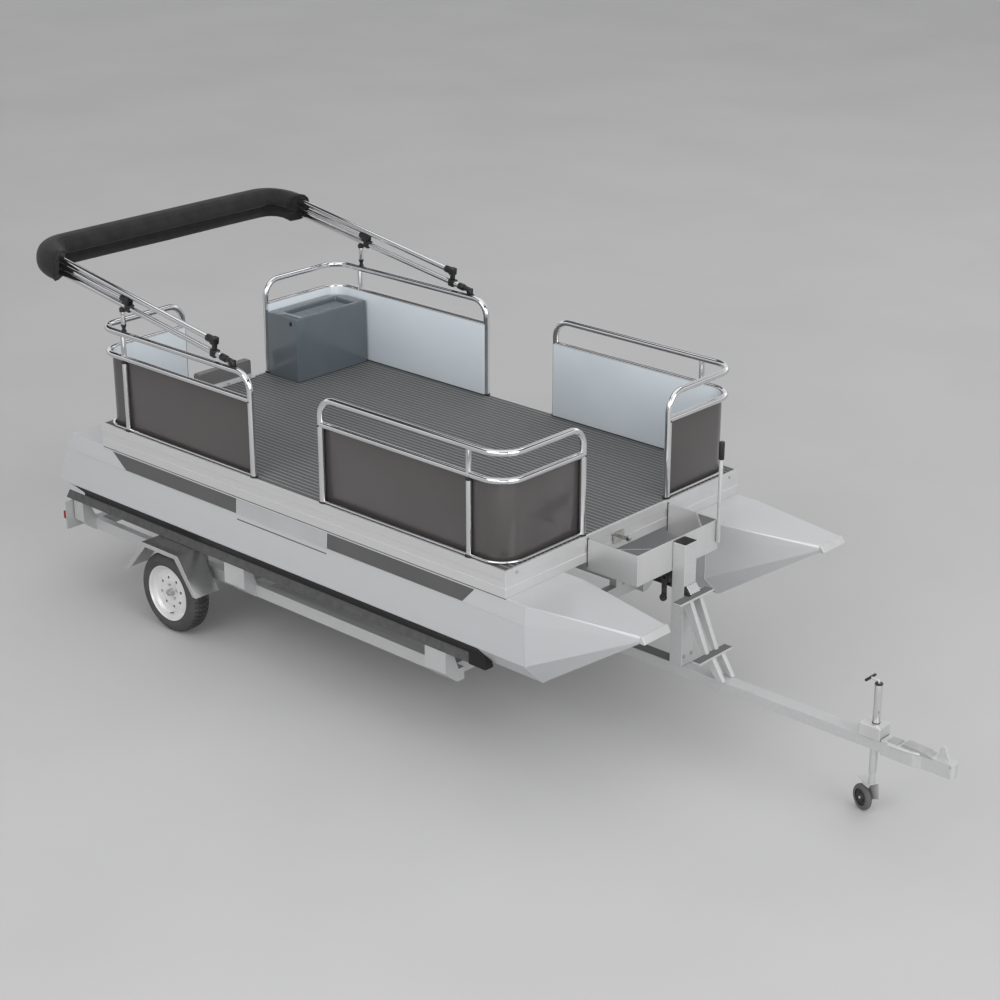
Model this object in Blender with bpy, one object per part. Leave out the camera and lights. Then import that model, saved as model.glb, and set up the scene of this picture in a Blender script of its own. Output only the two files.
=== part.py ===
"""Small aluminium pontoon boat on its road trailer, metres, +Z up, +X towards the bow.

The origin is on the ground, under the middle of the whole part. Places along X are
counted from the deck's aft edge and moved by DECK_X, heights from the deck's top and
moved by DECK_TOP, so that the sizes below read as they would on a drawing.
"""

import math

import bmesh
import bpy
from mathutils import Matrix, Vector

# Clearances that every fitted pair shares
GAP = 0.0003
RUNNING_GAP = 0.006
PIN_GAP = 0.0012
OVERRUN = 0.02

# Deck: an extruded frame around a ribbed floor
DECK_LENGTH = 3.6
DECK_WIDTH = 2.145
DECK_TOP = 1.297
FRAME_HEIGHT = 0.164
FRAME_WALL = 0.016
FRAME_GROOVE_DEPTH = 0.004
FRAME_GROOVE_HEIGHT = 0.05
FLOOR_THICKNESS = 0.03
FLOOR_DROP = 0.0
BEAM_WIDTH = 0.05
BEAM_COUNT = 6

# Pontoons: folded sheet, flat top, upright side, bevelled bottom edges
PONTOON_WIDTH = 0.506
PONTOON_CREASE_DROP = 0.117
PONTOON_CREASE_LEAN = 0.008
PONTOON_SIDE_DROP = 0.371
PONTOON_BOTTOM_DROP = 0.524
PONTOON_CHAMFER = 0.153
PONTOON_NOSE_START = 0.145
PONTOON_NOSE_LENGTH = 0.862
PONTOON_TIP_WIDTH = 0.216
PONTOON_TIP_INSET = 0.131
PONTOON_TIP_HEIGHT = 0.036
PONTOON_TAIL_REACH = 0.348
PONTOON_TAIL_RAKE = 0.18
PONTOON_TAIL_RISE = 0.145
PONTOON_TAIL_LENGTH = 0.048

# Railings: four L-shaped fences of tube, with a sheet behind the lower half
TUBE_R = 0.0205
TUBE_SIDES = 10
MID_RAIL_R = 0.0195
POST_R = 0.017
FENCE_SIDE_INSET = 0.0216
FENCE_END_INSET = 0.0288
TOP_RAIL_HEIGHT = 0.66
MID_RAIL_HEIGHT = 0.497
LOW_RAIL_R = 0.0085
LOW_RAIL_LIFT = 0.002
FENCE_CORNER_AFT_R = 0.125
FENCE_CORNER_BOW_R = 0.16
FENCE_END_R = 0.112
SIDE_GATE_AFT = 1.49
SIDE_GATE_FORWARD = 2.11
STERN_GATE_HALF = 0.371
BOW_GATE_HALF = 0.389
AFT_POST_X = 0.268
BOW_POST_X = 3.305
PANEL_THICKNESS = 0.006

# Console box in the port aft corner
BOX_AFT = 0.062
BOX_FORWARD = 0.368
BOX_SIDE_INSET = 0.0665
BOX_LENGTH = 0.661
BOX_OUTBOARD = DECK_WIDTH / 2 - BOX_SIDE_INSET
BOX_INBOARD = BOX_OUTBOARD - BOX_LENGTH
BOX_HEIGHT = 0.455
BOX_RIM = 0.03
BOX_BACK_RIM = 0.085
BOX_RECESS = 0.045
BOX_CORNER_R = 0.14

# Stern motor board: an upright board behind the stern, with an angle strip at its foot
MOTOR_BOARD_THICKNESS = 0.055
MOTOR_BOARD_HALF = 0.236
MOTOR_BOARD_HEIGHT = 0.12
MOTOR_BOARD_DROP = 0.3
MOTOR_BOARD_CORNER = 0.01
MOTOR_STRIP = 0.045
MOTOR_STRIP_RISE = 0.02
MOTOR_STRIP_SHEET = 0.004

# Bow bracket: a shallow tray of plates around the winch post's head
BRACKET_HALF = 0.375
BRACKET_REACH = 0.372
BRACKET_DROP = 0.022
BRACKET_HEIGHT = 0.19
BRACKET_PLATE = 0.008
GUSSET_SIDE = 0.16
GUSSET_DROP = 0.004
POLE_R = 0.0125
POLE_HEIGHT = 0.47
POLE_SLEEVE_R = 0.017
POLE_SLEEVE_LENGTH = 0.11
POLE_FOOT_DROP = 0.16

# Sun-shade frame, folded aft over the stern with its cover on
BOW_TUBE_R = 0.019
HINGE_X = 1.337
HINGE_RISE = 0.048
FRAME_TILT = math.radians(8.3)
MAIN_LEG_LENGTH = 1.715
SECOND_BOW_RISE = 0.078
SECOND_BOW_START = 0.20
SECOND_BOW_RISE_AFT = 0.092
THIRD_BOW_RISE = 0.046
THIRD_BOW_START = 1.03
LEG_EYE_LENGTH = 0.075
FORK_PLATE = 0.006
FORK_HEIGHT = 0.026
EAR_THICKNESS = 0.008
HINGE_PIN_R = 0.005
JAW_LENGTH = 0.075
JAW_WALL = 0.006
BOOT_R = 0.096
BOOT_RISE = 0.04
BOOT_CORNER_R = 0.2
BOOT_OVERHANG = 0.231
BOOT_BACK = MAIN_LEG_LENGTH + BOOT_OVERHANG
BOOT_SIDES = 14
STRUT_X = 0.285
STRUT_R = 0.011
STRUT_CAP_R = 0.021
STRUT_CAP_LENGTH = 0.022
SADDLE_LENGTH = 0.05
SADDLE_HEIGHT = 0.014

# Wheels, axle and mudguards
WHEEL_X = 0.64
WHEEL_PROUD = 0.0475
WHEEL_OUT = DECK_WIDTH / 2 + WHEEL_PROUD
TYRE_R = 0.273
TYRE_WIDTH = 0.155
RIM_R = 0.193
RIM_LIP = 0.008
SHOULDER_DROP = 0.027
SEAT_SHARE = 0.1
BULGE_SHARE = 0.02
TREAD_EDGE_SHARE = 0.14
RIM_WALL = 0.004
RIM_DISC_DEPTH = 0.045
HUB_R = 0.045
HUB_REACH = 0.02
STUB_R = 0.02
STUB_SIDES = 24
WHEEL_STEPS = 40
AXLE_SIZE = 0.05
GUARD_PROUD = 0.025
GUARD_CLEAR = 0.013
GUARD_OUT = WHEEL_OUT + GUARD_PROUD
GUARD_IN = WHEEL_OUT - TYRE_WIDTH - GUARD_CLEAR
GUARD_SHEET = 0.004
GUARD_TOP_DROP = 0.703
GUARD_AFT_TOP = 0.44
GUARD_FORWARD_TOP = 0.805
GUARD_AFT_FOOT = 0.245
GUARD_FORWARD_FOOT = 0.972
GUARD_FOOT_DROP = 0.952
GUARD_LIP = 0.03
GUARD_STAY = 0.03

# Trailer frame
RAIL_CLEAR = 0.075
RAIL_OUT = WHEEL_OUT - TYRE_WIDTH - RAIL_CLEAR
RAIL_WIDTH = 0.05
RAIL_HEIGHT = 0.08
RAIL_TOP_DROP = 0.845
RAIL_AFT = -0.5
RAIL_FORWARD = 3.06
CROSS_WIDTH = 0.06
CROSS_AFT = -0.42
CROSS_MIDDLE = 1.18
CROSS_FORWARD = 2.97
DRAWBAR_WIDTH = 0.09
DRAWBAR_HEIGHT = 0.065
DRAWBAR_TOP_DROP = 0.8
DRAWBAR_AFT = 0.9

# Bunks: padded boards, bevelled to lie against the pontoons' lower edges
BUNK_AFT = -0.56
BUNK_FORWARD = 3.38
BUNK_INSET = 0.0725
BUNK_OUT = DECK_WIDTH / 2 - BUNK_INSET
BUNK_WIDTH = 0.06
BUNK_BOTTOM_DROP = 0.702
AFT_SEAT_X = -0.44
AFT_SEAT_LENGTH = 0.1
MIDDLE_SEAT_LENGTH = 0.19
FORWARD_SEAT_LENGTH = 0.17
BUNK_PLATE = 0.008

# Tail lamps
LAMP_PLATE_PROUD = 0.165
LAMP_PLATE_OUT = RAIL_OUT + LAMP_PLATE_PROUD
LAMP_PLATE_TOP_DROP = 0.708
LAMP_PLATE_HEIGHT = 0.2
LAMP_PLATE_THICKNESS = 0.006
LAMP_SIZE = 0.056
LAMP_DEPTH = 0.03

# Winch post, winch and boarding steps on the drawbar
POST_CLEAR = 0.0015
POST_LENGTH = 0.09
POST_X = DECK_LENGTH + BRACKET_REACH + POST_CLEAR + POST_LENGTH / 2
POST_WIDTH = 0.11
POST_TOP_DROP = 0.03
WINCH_DROP = 0.27
WINCH_DRUM_R = 0.035
WINCH_WIDTH = 0.075
WINCH_CHEEK = 0.006
WINCH_CHEEK_R = 0.055
CRANK_LENGTH = 0.14
CRANK_R = 0.007
STEP_WIDTH = 0.313
STEP_DEPTH = 0.06
STEP_SHIFT = -0.022
STEP_THICKNESS = 0.012
UPPER_STEP_REACH = 0.0895
UPPER_STEP_X = POST_X + UPPER_STEP_REACH
UPPER_STEP_DROP = 0.34
STEP_RUN = 0.152
LOWER_STEP_X = UPPER_STEP_X + STEP_RUN
LOWER_STEP_DROP = 0.662
STRINGER_WIDTH = 0.03
STRINGER_DEPTH = 0.035
STRINGER_HALF = 0.045
STRINGER_FOOT_REACH = 0.11
STRINGER_FOOT_X = LOWER_STEP_X + STRINGER_FOOT_REACH

# Jockey wheel and coupling
JOCKEY_REACH = 1.3445
JOCKEY_X = POST_X + JOCKEY_REACH
JOCKEY_R = 0.0215
JOCKEY_TOP_DROP = 0.484
JOCKEY_FOOT_DROP = 1.092
JOCKEY_PLATE_BACK = 0.078
JOCKEY_PLATE_AHEAD = 0.061
JOCKEY_PLATE_WIDTH = 0.11
JOCKEY_PLATE_THICKNESS = 0.095
JOCKEY_TRAIL = 0.075
# The jockey wheel stands swung round towards port, as it was left, in degrees
JOCKEY_SWING = 22
JOCKEY_WHEEL_R = 0.076
JOCKEY_WHEEL_WIDTH = 0.038
JOCKEY_FORK_PLATE = 0.006
JOCKEY_AXLE_R = 0.008
JOCKEY_HUB_R = 0.031
JOCKEY_DISH = 0.007
JOCKEY_BEAD_R = 0.052
JOCKEY_EDGE = 0.009
HANDLE_REACH = 0.055
HANDLE_HALF = 0.048
HANDLE_R = 0.008
COUPLING_REACH = 0.067
COUPLING_LENGTH = 0.445
COUPLING_LAP = 0.04
COUPLING_X = JOCKEY_X + COUPLING_REACH
COUPLING_NOSE = COUPLING_X + COUPLING_LENGTH
DRAWBAR_FORWARD = COUPLING_X + COUPLING_LAP
COUPLING_WIDTH = 0.1
COUPLING_HEIGHT = 0.09
COUPLING_NOSE_WIDTH = 0.066
COUPLING_WALL = 0.005
COUPLING_WAIST_SHARE = 0.45
LEVER_BACK = 0.08
LEVER_HEIGHT = 0.073
LEVER_TOP_BACK = 0.056
LEVER_TOP_AHEAD = 0.033
LEVER_WIDTH = 0.022
COUPLING_TOP_DROP = 0.785
BALL_CUP_R = 0.0255

BOOT_REACH = BOOT_BACK * math.cos(FRAME_TILT) - BOOT_RISE * math.sin(FRAME_TILT) + BOOT_R - HINGE_X
DECK_X = (BOOT_REACH - COUPLING_NOSE) / 2


def place(x, y, drop):
    """A point given from the deck's aft edge, the middle line and the deck's top, downwards."""
    return Vector((DECK_X + x, y, DECK_TOP - drop))


def finish_material(name, color, roughness, metallic):
    material = bpy.data.materials.new(name)
    material.use_nodes = True
    shader = material.node_tree.nodes["Principled BSDF"]
    shader.inputs["Base Color"].default_value = (*color, 1.0)
    shader.inputs["Roughness"].default_value = roughness
    shader.inputs["Metallic"].default_value = metallic
    return material


def add_mesh(name, mesh, material):
    for old in list(mesh.materials):
        mesh.materials.pop()
    mesh.materials.append(material)
    mesh.name = name
    part = bpy.data.objects.new(name, mesh)
    bpy.context.scene.collection.objects.link(part)
    return part


def closed(bm):
    """Welds a finished shape, turns its faces outwards and hands it over as a mesh."""
    bmesh.ops.remove_doubles(bm, verts=bm.verts, dist=GAP / 10)
    bmesh.ops.recalc_face_normals(bm, faces=bm.faces)
    mesh = bpy.data.meshes.new("shape")
    bm.to_mesh(mesh)
    bm.free()
    return mesh


def block(low, high):
    """A box between two corners."""
    low, high = Vector(low), Vector(high)
    bm = bmesh.new()
    bmesh.ops.create_cube(bm, size=1.0)
    middle, size = (low + high) / 2, high - low
    spread = Matrix.Diagonal((abs(size.x), abs(size.y), abs(size.z), 1.0))
    bmesh.ops.transform(bm, matrix=Matrix.Translation(middle) @ spread, verts=bm.verts)
    return closed(bm)


def prism(outline, axis, start, end):
    """Pushes a flat outline along an axis. The outline's two numbers are the other axes, in order."""
    others = [i for i in range(3) if i != axis]
    bm = bmesh.new()
    corners = []
    for first, second in outline:
        point = Vector((0.0, 0.0, 0.0))
        point[axis], point[others[0]], point[others[1]] = start, first, second
        corners.append(bm.verts.new(point))
    face = bm.faces.new(corners)
    grown = bmesh.ops.extrude_face_region(bm, geom=[face])
    push = Vector((0.0, 0.0, 0.0))
    push[axis] = end - start
    moved = [v for v in grown["geom"] if isinstance(v, bmesh.types.BMVert)]
    bmesh.ops.translate(bm, vec=push, verts=moved)
    return closed(bm)


def rod(start, end, radius, sides=16, end_radius=None):
    """A round bar from one point to another, tapered if it has an end radius."""
    start, end = Vector(start), Vector(end)
    along = end - start
    bm = bmesh.new()
    bmesh.ops.create_cone(
        bm, cap_ends=True, segments=sides, radius1=radius,
        radius2=radius if end_radius is None else end_radius, depth=along.length,
    )
    turn = along.to_track_quat("Z", "Y").to_matrix().to_4x4()
    bmesh.ops.transform(bm, matrix=Matrix.Translation((start + end) / 2) @ turn, verts=bm.verts)
    return closed(bm)


def turned(profile, steps):
    """Spins a profile of (radius, place along Y) once around the Y axis."""
    bm = bmesh.new()
    points = [bm.verts.new((radius, along, 0.0)) for radius, along in profile]
    edges = [bm.edges.new((a, b)) for a, b in zip(points, points[1:])]
    if profile[0][0] > 0 or profile[-1][0] > 0:
        edges.append(bm.edges.new((points[-1], points[0])))
    bmesh.ops.spin(
        bm, geom=points + edges, cent=(0, 0, 0), axis=(0, 1, 0), angle=math.tau, steps=steps,
        use_merge=True,
    )
    return closed(bm)


def rounded(corners, radii, steps=4):
    """The corners of a path with an arc in each inner one, as a list of points."""
    corners = [Vector(c) for c in corners]
    points = [corners[0]]
    for before, corner, after, radius in zip(corners, corners[1:], corners[2:], radii):
        back, ahead = (before - corner).normalized(), (after - corner).normalized()
        half = back.angle(ahead) / 2
        reach = radius / math.tan(half)
        centre = corner + (back + ahead).normalized() * (radius / math.sin(half))
        first = (corner + back * reach - centre).normalized()
        last = (corner + ahead * reach - centre).normalized()
        for i in range(steps + 1):
            points.append(centre + first.slerp(last, i / steps) * radius)
    points.append(corners[-1])
    return points


def tube(path, radius, sides=TUBE_SIDES):
    """A round tube along a path, closed at both ends, as a mesh."""
    curve = bpy.data.curves.new("tube", "CURVE")
    curve.dimensions = "3D"
    curve.bevel_depth = radius
    curve.bevel_resolution = sides // 2 - 2
    curve.render_resolution_u = 0
    curve.use_fill_caps = True
    spline = curve.splines.new("POLY")
    spline.points.add(len(path) - 1)
    for point, place_on_path in zip(spline.points, path):
        point.co = (*place_on_path, 1.0)
    holder = bpy.data.objects.new("tube", curve)
    bpy.context.scene.collection.objects.link(holder)
    bpy.context.view_layer.update()
    depsgraph = bpy.context.evaluated_depsgraph_get()
    mesh = bpy.data.meshes.new_from_object(holder.evaluated_get(depsgraph))
    bpy.data.objects.remove(holder)
    bm = bmesh.new()
    bm.from_mesh(mesh)
    return closed(bm)


def combine(first, others, operation):
    """The first shape with the others added to it or cut from it."""
    holder = bpy.data.objects.new("first", first)
    bpy.context.scene.collection.objects.link(holder)
    helpers = []
    for i, other in enumerate(others):
        helper = bpy.data.objects.new("other", other)
        bpy.context.scene.collection.objects.link(helper)
        helpers.append(helper)
        step = holder.modifiers.new(str(i), "BOOLEAN")
        step.object = helper
        step.operation = operation
        step.solver = "EXACT"
    bpy.context.view_layer.update()
    depsgraph = bpy.context.evaluated_depsgraph_get()
    mesh = bpy.data.meshes.new_from_object(holder.evaluated_get(depsgraph))
    for used in (holder, *helpers):
        bpy.data.objects.remove(used)
    return mesh


def union(first, *others):
    return combine(first, others, "UNION")


def cut(first, *others):
    return combine(first, others, "DIFFERENCE")


def moved(mesh, offset):
    mesh.transform(Matrix.Translation(Vector(offset)))
    return mesh


def turned_about_y(mesh, angle):
    mesh.transform(Matrix.Rotation(angle, 4, "Y"))
    return mesh


def smooth(part, angle=math.radians(35)):
    part.data.shade_smooth()
    part.data.set_sharp_from_angle(angle=angle)
    return part


SIDES = (("starboard", -1), ("port", 1))


def build_pontoons(finish):
    """Each pontoon is a loft of eight-cornered sections from the raked tail to the pointed nose."""
    outer = DECK_WIDTH / 2
    inner = outer - PONTOON_WIDTH
    top = FRAME_HEIGHT + GAP
    crease = top + PONTOON_CREASE_DROP
    side = top + PONTOON_SIDE_DROP
    bottom = top + PONTOON_BOTTOM_DROP
    lean = PONTOON_CREASE_LEAN
    chamfer = PONTOON_CHAMFER
    nose = DECK_LENGTH + PONTOON_NOSE_START
    tip = nose + PONTOON_NOSE_LENGTH - PONTOON_NOSE_START
    tip_outer = outer - PONTOON_TIP_INSET
    tip_inner = tip_outer - PONTOON_TIP_WIDTH
    tail_bottom = bottom - PONTOON_TAIL_RISE
    # x of the section, its rake, outer and inner side, then crease, side and bottom drops, chamfer
    sections = (
        (-PONTOON_TAIL_REACH, PONTOON_TAIL_RAKE, outer, inner, crease, side, tail_bottom,
         lean * 3),
        (-PONTOON_TAIL_REACH + PONTOON_TAIL_LENGTH, 0.0, outer, inner, crease, side, bottom,
         chamfer),
        (nose, 0.0, outer, inner, crease, side, bottom, chamfer),
        (tip, 0.0, tip_outer, tip_inner, top + PONTOON_TIP_HEIGHT / 3, top + PONTOON_TIP_HEIGHT * 2 / 3,
         top + PONTOON_TIP_HEIGHT, lean),
    )
    for name, hand in SIDES:
        bm = bmesh.new()
        rings = []
        for x, rake, out, inn, crease_drop, side_drop, bottom_drop, bevel in sections:
            spots = (
                (out - lean, top), (out, crease_drop), (out, side_drop), (out - bevel, bottom_drop),
                (inn + bevel, bottom_drop), (inn, side_drop), (inn, crease_drop), (inn + lean, top),
            )
            ring = []
            for across, drop in spots:
                share_down = (drop - top) / (bottom_drop - top)
                ring.append(bm.verts.new(place(x - rake * share_down, hand * across, drop)))
            rings.append(ring)
        for fore, aft in zip(rings, rings[1:]):
            for i in range(len(fore)):
                j = (i + 1) % len(fore)
                bm.faces.new((fore[i], fore[j], aft[j], aft[i]))
        bm.faces.new(rings[0])
        bm.faces.new(rings[-1])
        bmesh.ops.triangulate(bm, faces=bm.faces)
        add_mesh(f"pontoon_{name}", closed(bm), finish)


def build_deck(metal, floor):
    half = DECK_WIDTH / 2
    wall = FRAME_WALL
    outline = block(place(0, -half, FRAME_HEIGHT), place(DECK_LENGTH, half, 0))
    inside = block(
        place(wall, wall - half, FRAME_HEIGHT + OVERRUN),
        place(DECK_LENGTH - wall, half - wall, -OVERRUN),
    )
    groove = FRAME_GROOVE_DEPTH
    middle = FRAME_HEIGHT / 2
    band_low, band_high = middle + FRAME_GROOVE_HEIGHT / 2, middle - FRAME_GROOVE_HEIGHT / 2
    around = block(
        place(-OVERRUN, -half - OVERRUN, band_low),
        place(DECK_LENGTH + OVERRUN, half + OVERRUN, band_high),
    )
    core = block(
        place(groove, groove - half, band_low + OVERRUN),
        place(DECK_LENGTH - groove, half - groove, band_high - OVERRUN),
    )
    add_mesh("deck_frame", cut(outline, inside, cut(around, core)), metal)
    floor_top, floor_low = FLOOR_DROP, FLOOR_DROP + FLOOR_THICKNESS
    edge = wall + GAP
    sheet = block(place(edge, edge - half, floor_low),
                  place(DECK_LENGTH - edge, half - edge, floor_top))
    add_mesh("deck_floor", sheet, floor)
    beams = []
    spacing = (DECK_LENGTH - 2 * edge - BEAM_WIDTH) / (BEAM_COUNT - 1)
    for i in range(BEAM_COUNT):
        x = edge + i * spacing
        beams.append(block(
            place(x, edge - half, FRAME_HEIGHT), place(x + BEAM_WIDTH, half - edge, floor_low + GAP)
        ))
    for hand in (-1, 1):
        y = hand * (half - PONTOON_WIDTH / 2)
        beams.append(block(
            place(edge, y - BEAM_WIDTH / 2, FRAME_HEIGHT - GAP),
            place(DECK_LENGTH - edge, y + BEAM_WIDTH / 2, floor_low + GAP * 2),
        ))
    add_mesh("deck_underframe", union(*beams), metal)


def fence_path(hand, end, height, side_x, gate_half, end_radius):
    """A rail's route from its foot by the side gate, round the corner, to its foot by the end gate."""
    y = hand * (DECK_WIDTH / 2 - FENCE_SIDE_INSET)
    x_end = FENCE_END_INSET if end == "aft" else DECK_LENGTH - FENCE_END_INSET
    corner_radius = FENCE_CORNER_AFT_R if end == "aft" else FENCE_CORNER_BOW_R
    corners, radii = [], []
    if end_radius:
        corners.append(place(side_x, y, 0))
        radii.append(end_radius)
    corners.append(place(side_x, y, -height))
    radii.append(corner_radius)
    corners.append(place(x_end, y, -height))
    if end_radius:
        radii.append(end_radius)
    corners.append(place(x_end, hand * gate_half, -height))
    if end_radius:
        corners.append(place(x_end, hand * gate_half, 0))
    return rounded(corners, radii)


def build_fences(chrome, sheet):
    ends = (
        ("aft", SIDE_GATE_AFT, STERN_GATE_HALF, AFT_POST_X),
        ("bow", SIDE_GATE_FORWARD, BOW_GATE_HALF, BOW_POST_X),
    )
    low_height = LOW_RAIL_R + LOW_RAIL_LIFT
    panel_top = MID_RAIL_HEIGHT - MID_RAIL_R - GAP
    for side_name, hand in SIDES:
        y = hand * (DECK_WIDTH / 2 - FENCE_SIDE_INSET)
        for end, side_x, gate_half, post_x in ends:
            top = tube(fence_path(hand, end, TOP_RAIL_HEIGHT, side_x, gate_half, FENCE_END_R),
                       TUBE_R)
            lift = Vector((0, 0, GAP))
            top.transform(Matrix.Translation(lift))
            middle = tube(fence_path(hand, end, MID_RAIL_HEIGHT, side_x, gate_half, 0), MID_RAIL_R)
            low = tube(fence_path(hand, end, low_height, side_x, gate_half, 0), LOW_RAIL_R)
            post = rod(place(post_x, y, -GAP), place(post_x, y, -TOP_RAIL_HEIGHT), POST_R,
                       TUBE_SIDES)
            add_rail = union(top, middle, low, post)
            smooth(add_mesh(f"fence_rail_{side_name}_{end}", add_rail, chrome))
            build_panel(f"fence_panel_{side_name}_{end}", hand, end, side_x, gate_half,
                        panel_top, sheet)


def build_panel(name, hand, end, side_x, gate_half, height, sheet):
    """A thin sheet bent round the fence's corner, on the inboard side of its tubes."""
    toward = 1 if end == "aft" else -1
    x_end = FENCE_END_INSET if end == "aft" else DECK_LENGTH - FENCE_END_INSET
    corner_radius = FENCE_CORNER_AFT_R if end == "aft" else FENCE_CORNER_BOW_R
    clear = TUBE_R + GAP
    outline = []
    for inset, order in ((POST_R + GAP, 1), (POST_R + GAP + PANEL_THICKNESS, -1)):
        x_line = x_end + toward * inset
        y_line = hand * (DECK_WIDTH / 2 - FENCE_SIDE_INSET - inset)
        corners = (
            Vector((DECK_X + side_x - toward * clear, y_line, 0.0)),
            Vector((DECK_X + x_line, y_line, 0.0)),
            Vector((DECK_X + x_line, hand * (gate_half + clear), 0.0)),
        )
        points = [(p.x, p.y) for p in rounded(corners, (corner_radius - inset,), steps=5)]
        outline += points[::order]
    add_mesh(name, prism(outline, 2, DECK_TOP + GAP, DECK_TOP + height), sheet)


def build_console(finish):
    route = rounded(
        (place(BOX_FORWARD, BOX_OUTBOARD, 0), place(BOX_AFT, BOX_OUTBOARD, 0),
         place(BOX_AFT, BOX_INBOARD, 0)),
        (BOX_CORNER_R,), steps=5,
    )
    outline = [(p.x, p.y) for p in route] + [(DECK_X + BOX_FORWARD, BOX_INBOARD)]
    body = prism(outline, 2, DECK_TOP + GAP - FLOOR_DROP, DECK_TOP + BOX_HEIGHT)
    recess = block(
        place(BOX_AFT + BOX_BACK_RIM, BOX_INBOARD + BOX_BACK_RIM, BOX_RECESS - BOX_HEIGHT),
        place(BOX_FORWARD - BOX_RIM, BOX_OUTBOARD - BOX_BACK_RIM, -BOX_HEIGHT - OVERRUN),
    )
    add_mesh("console_box", cut(body, recess), finish)


def build_motor_mount(finish, metal):
    half, cut_off = MOTOR_BOARD_HALF, MOTOR_BOARD_CORNER
    low, high = DECK_TOP - MOTOR_BOARD_DROP, DECK_TOP + MOTOR_BOARD_HEIGHT
    outline = (
        (-half, low + cut_off), (-half, high - cut_off), (cut_off - half, high), (half - cut_off, high),
        (half, high - cut_off), (half, low + cut_off), (half - cut_off, low), (cut_off - half, low),
    )
    board = prism(outline, 0, DECK_X - MOTOR_BOARD_THICKNESS, DECK_X - GAP)
    add_mesh("motor_board", board, finish)
    sheet = MOTOR_STRIP_SHEET
    upright = block(place(0, -half, -GAP), place(sheet, half, -MOTOR_STRIP_RISE))
    foot = block(place(0, -half, -GAP), place(MOTOR_STRIP, half, -sheet))
    add_mesh("motor_strip", union(upright, foot), metal)


def build_bow_bracket(finish):
    """Side plates and a front plate, with a gusset in each front corner."""
    low, high = BRACKET_DROP + BRACKET_HEIGHT, BRACKET_DROP
    start, reach = DECK_LENGTH + GAP, DECK_LENGTH + BRACKET_REACH
    outer = block(place(start, -BRACKET_HALF, low), place(reach, BRACKET_HALF, high))
    inner = block(
        place(start - OVERRUN, BRACKET_PLATE - BRACKET_HALF, low + OVERRUN),
        place(reach - BRACKET_PLATE, BRACKET_HALF - BRACKET_PLATE, high - OVERRUN),
    )
    plates = [cut(outer, inner)]
    for _, hand in SIDES:
        corner_x = DECK_X + reach - BRACKET_PLATE / 2
        corner_y = hand * (BRACKET_HALF - BRACKET_PLATE / 2)
        outline = (
            (corner_x, corner_y), (corner_x - GUSSET_SIDE, corner_y),
            (corner_x, corner_y - hand * GUSSET_SIDE),
        )
        top = DECK_TOP - high - GUSSET_DROP
        plates.append(prism(outline, 2, top - BRACKET_PLATE, top))
    add_mesh("bow_bracket", union(*plates), finish)


def build_pole(metal):
    x = DECK_LENGTH + BRACKET_REACH + POLE_R + GAP
    y = BRACKET_HALF - POLE_R
    pole = rod(place(x, y, POLE_FOOT_DROP), place(x, y, -POLE_HEIGHT), POLE_R, 12)
    sleeve = rod(place(x, y, POLE_SLEEVE_LENGTH - POLE_HEIGHT), place(x, y, -POLE_HEIGHT - GAP),
                 POLE_SLEEVE_R, 12)
    smooth(add_mesh("guide_pole", union(pole, sleeve), metal))


def shade_point(along, rise, y):
    """A point of the folded shade frame, from its hinge: aft along the main bow, and up from it."""
    cos, sin = math.cos(FRAME_TILT), math.sin(FRAME_TILT)
    hinge = place(HINGE_X, y, -TOP_RAIL_HEIGHT - HINGE_RISE)
    return hinge + Vector((-along * cos + rise * sin, 0.0, along * sin + rise * cos))


def tilted(mesh, y):
    """Moves a shape made aft along -X from a hinge at zero to the shade frame's place."""
    turned_about_y(mesh, FRAME_TILT)
    return moved(mesh, shade_point(0, 0, y))


def build_shade(chrome, nylon, fabric):
    end = MAIN_LEG_LENGTH
    for name, hand in SIDES:
        y = hand * (DECK_WIDTH / 2 - FENCE_SIDE_INSET)
        eye_half = EAR_THICKNESS / 2 + PIN_GAP
        tube_part = rod((-LEG_EYE_LENGTH, 0, 0), (-end, 0, 0), BOW_TUBE_R, TUBE_SIDES)
        fork = block((-LEG_EYE_LENGTH - OVERRUN, -eye_half - FORK_PLATE, -FORK_HEIGHT / 2),
                     (FORK_HEIGHT / 2, eye_half + FORK_PLATE, FORK_HEIGHT / 2))
        slot = block((-LEG_EYE_LENGTH + OVERRUN, -eye_half, -FORK_HEIGHT),
                     (FORK_HEIGHT, eye_half, FORK_HEIGHT))
        hole = rod((0, -FORK_HEIGHT, 0), (0, FORK_HEIGHT, 0), HINGE_PIN_R + PIN_GAP, 12)
        leg = union(tube_part, cut(fork, slot, hole))
        smooth(add_mesh(f"shade_main_bow_{name}", tilted(leg, y), chrome))
        build_side_bow(f"shade_second_bow_{name}", y, SECOND_BOW_START, SECOND_BOW_RISE,
                       SECOND_BOW_RISE_AFT, chrome)
        build_side_bow(f"shade_third_bow_{name}", y, THIRD_BOW_START, THIRD_BOW_RISE,
                       THIRD_BOW_RISE, chrome)
        build_rail_hinge(f"shade_hinge_{name}", y, nylon)
        build_strut(f"shade_strut_{name}", y, nylon)
    side = DECK_WIDTH / 2 - FENCE_SIDE_INSET
    corners = (
        shade_point(end + GAP, BOOT_RISE, -side), shade_point(BOOT_BACK, BOOT_RISE, -side),
        shade_point(BOOT_BACK, BOOT_RISE, side), shade_point(end + GAP, BOOT_RISE, side),
    )
    route = rounded(corners, (BOOT_CORNER_R, BOOT_CORNER_R), steps=6)
    smooth(add_mesh("shade_cover", tube(route, BOOT_R, BOOT_SIDES), fabric))


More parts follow.
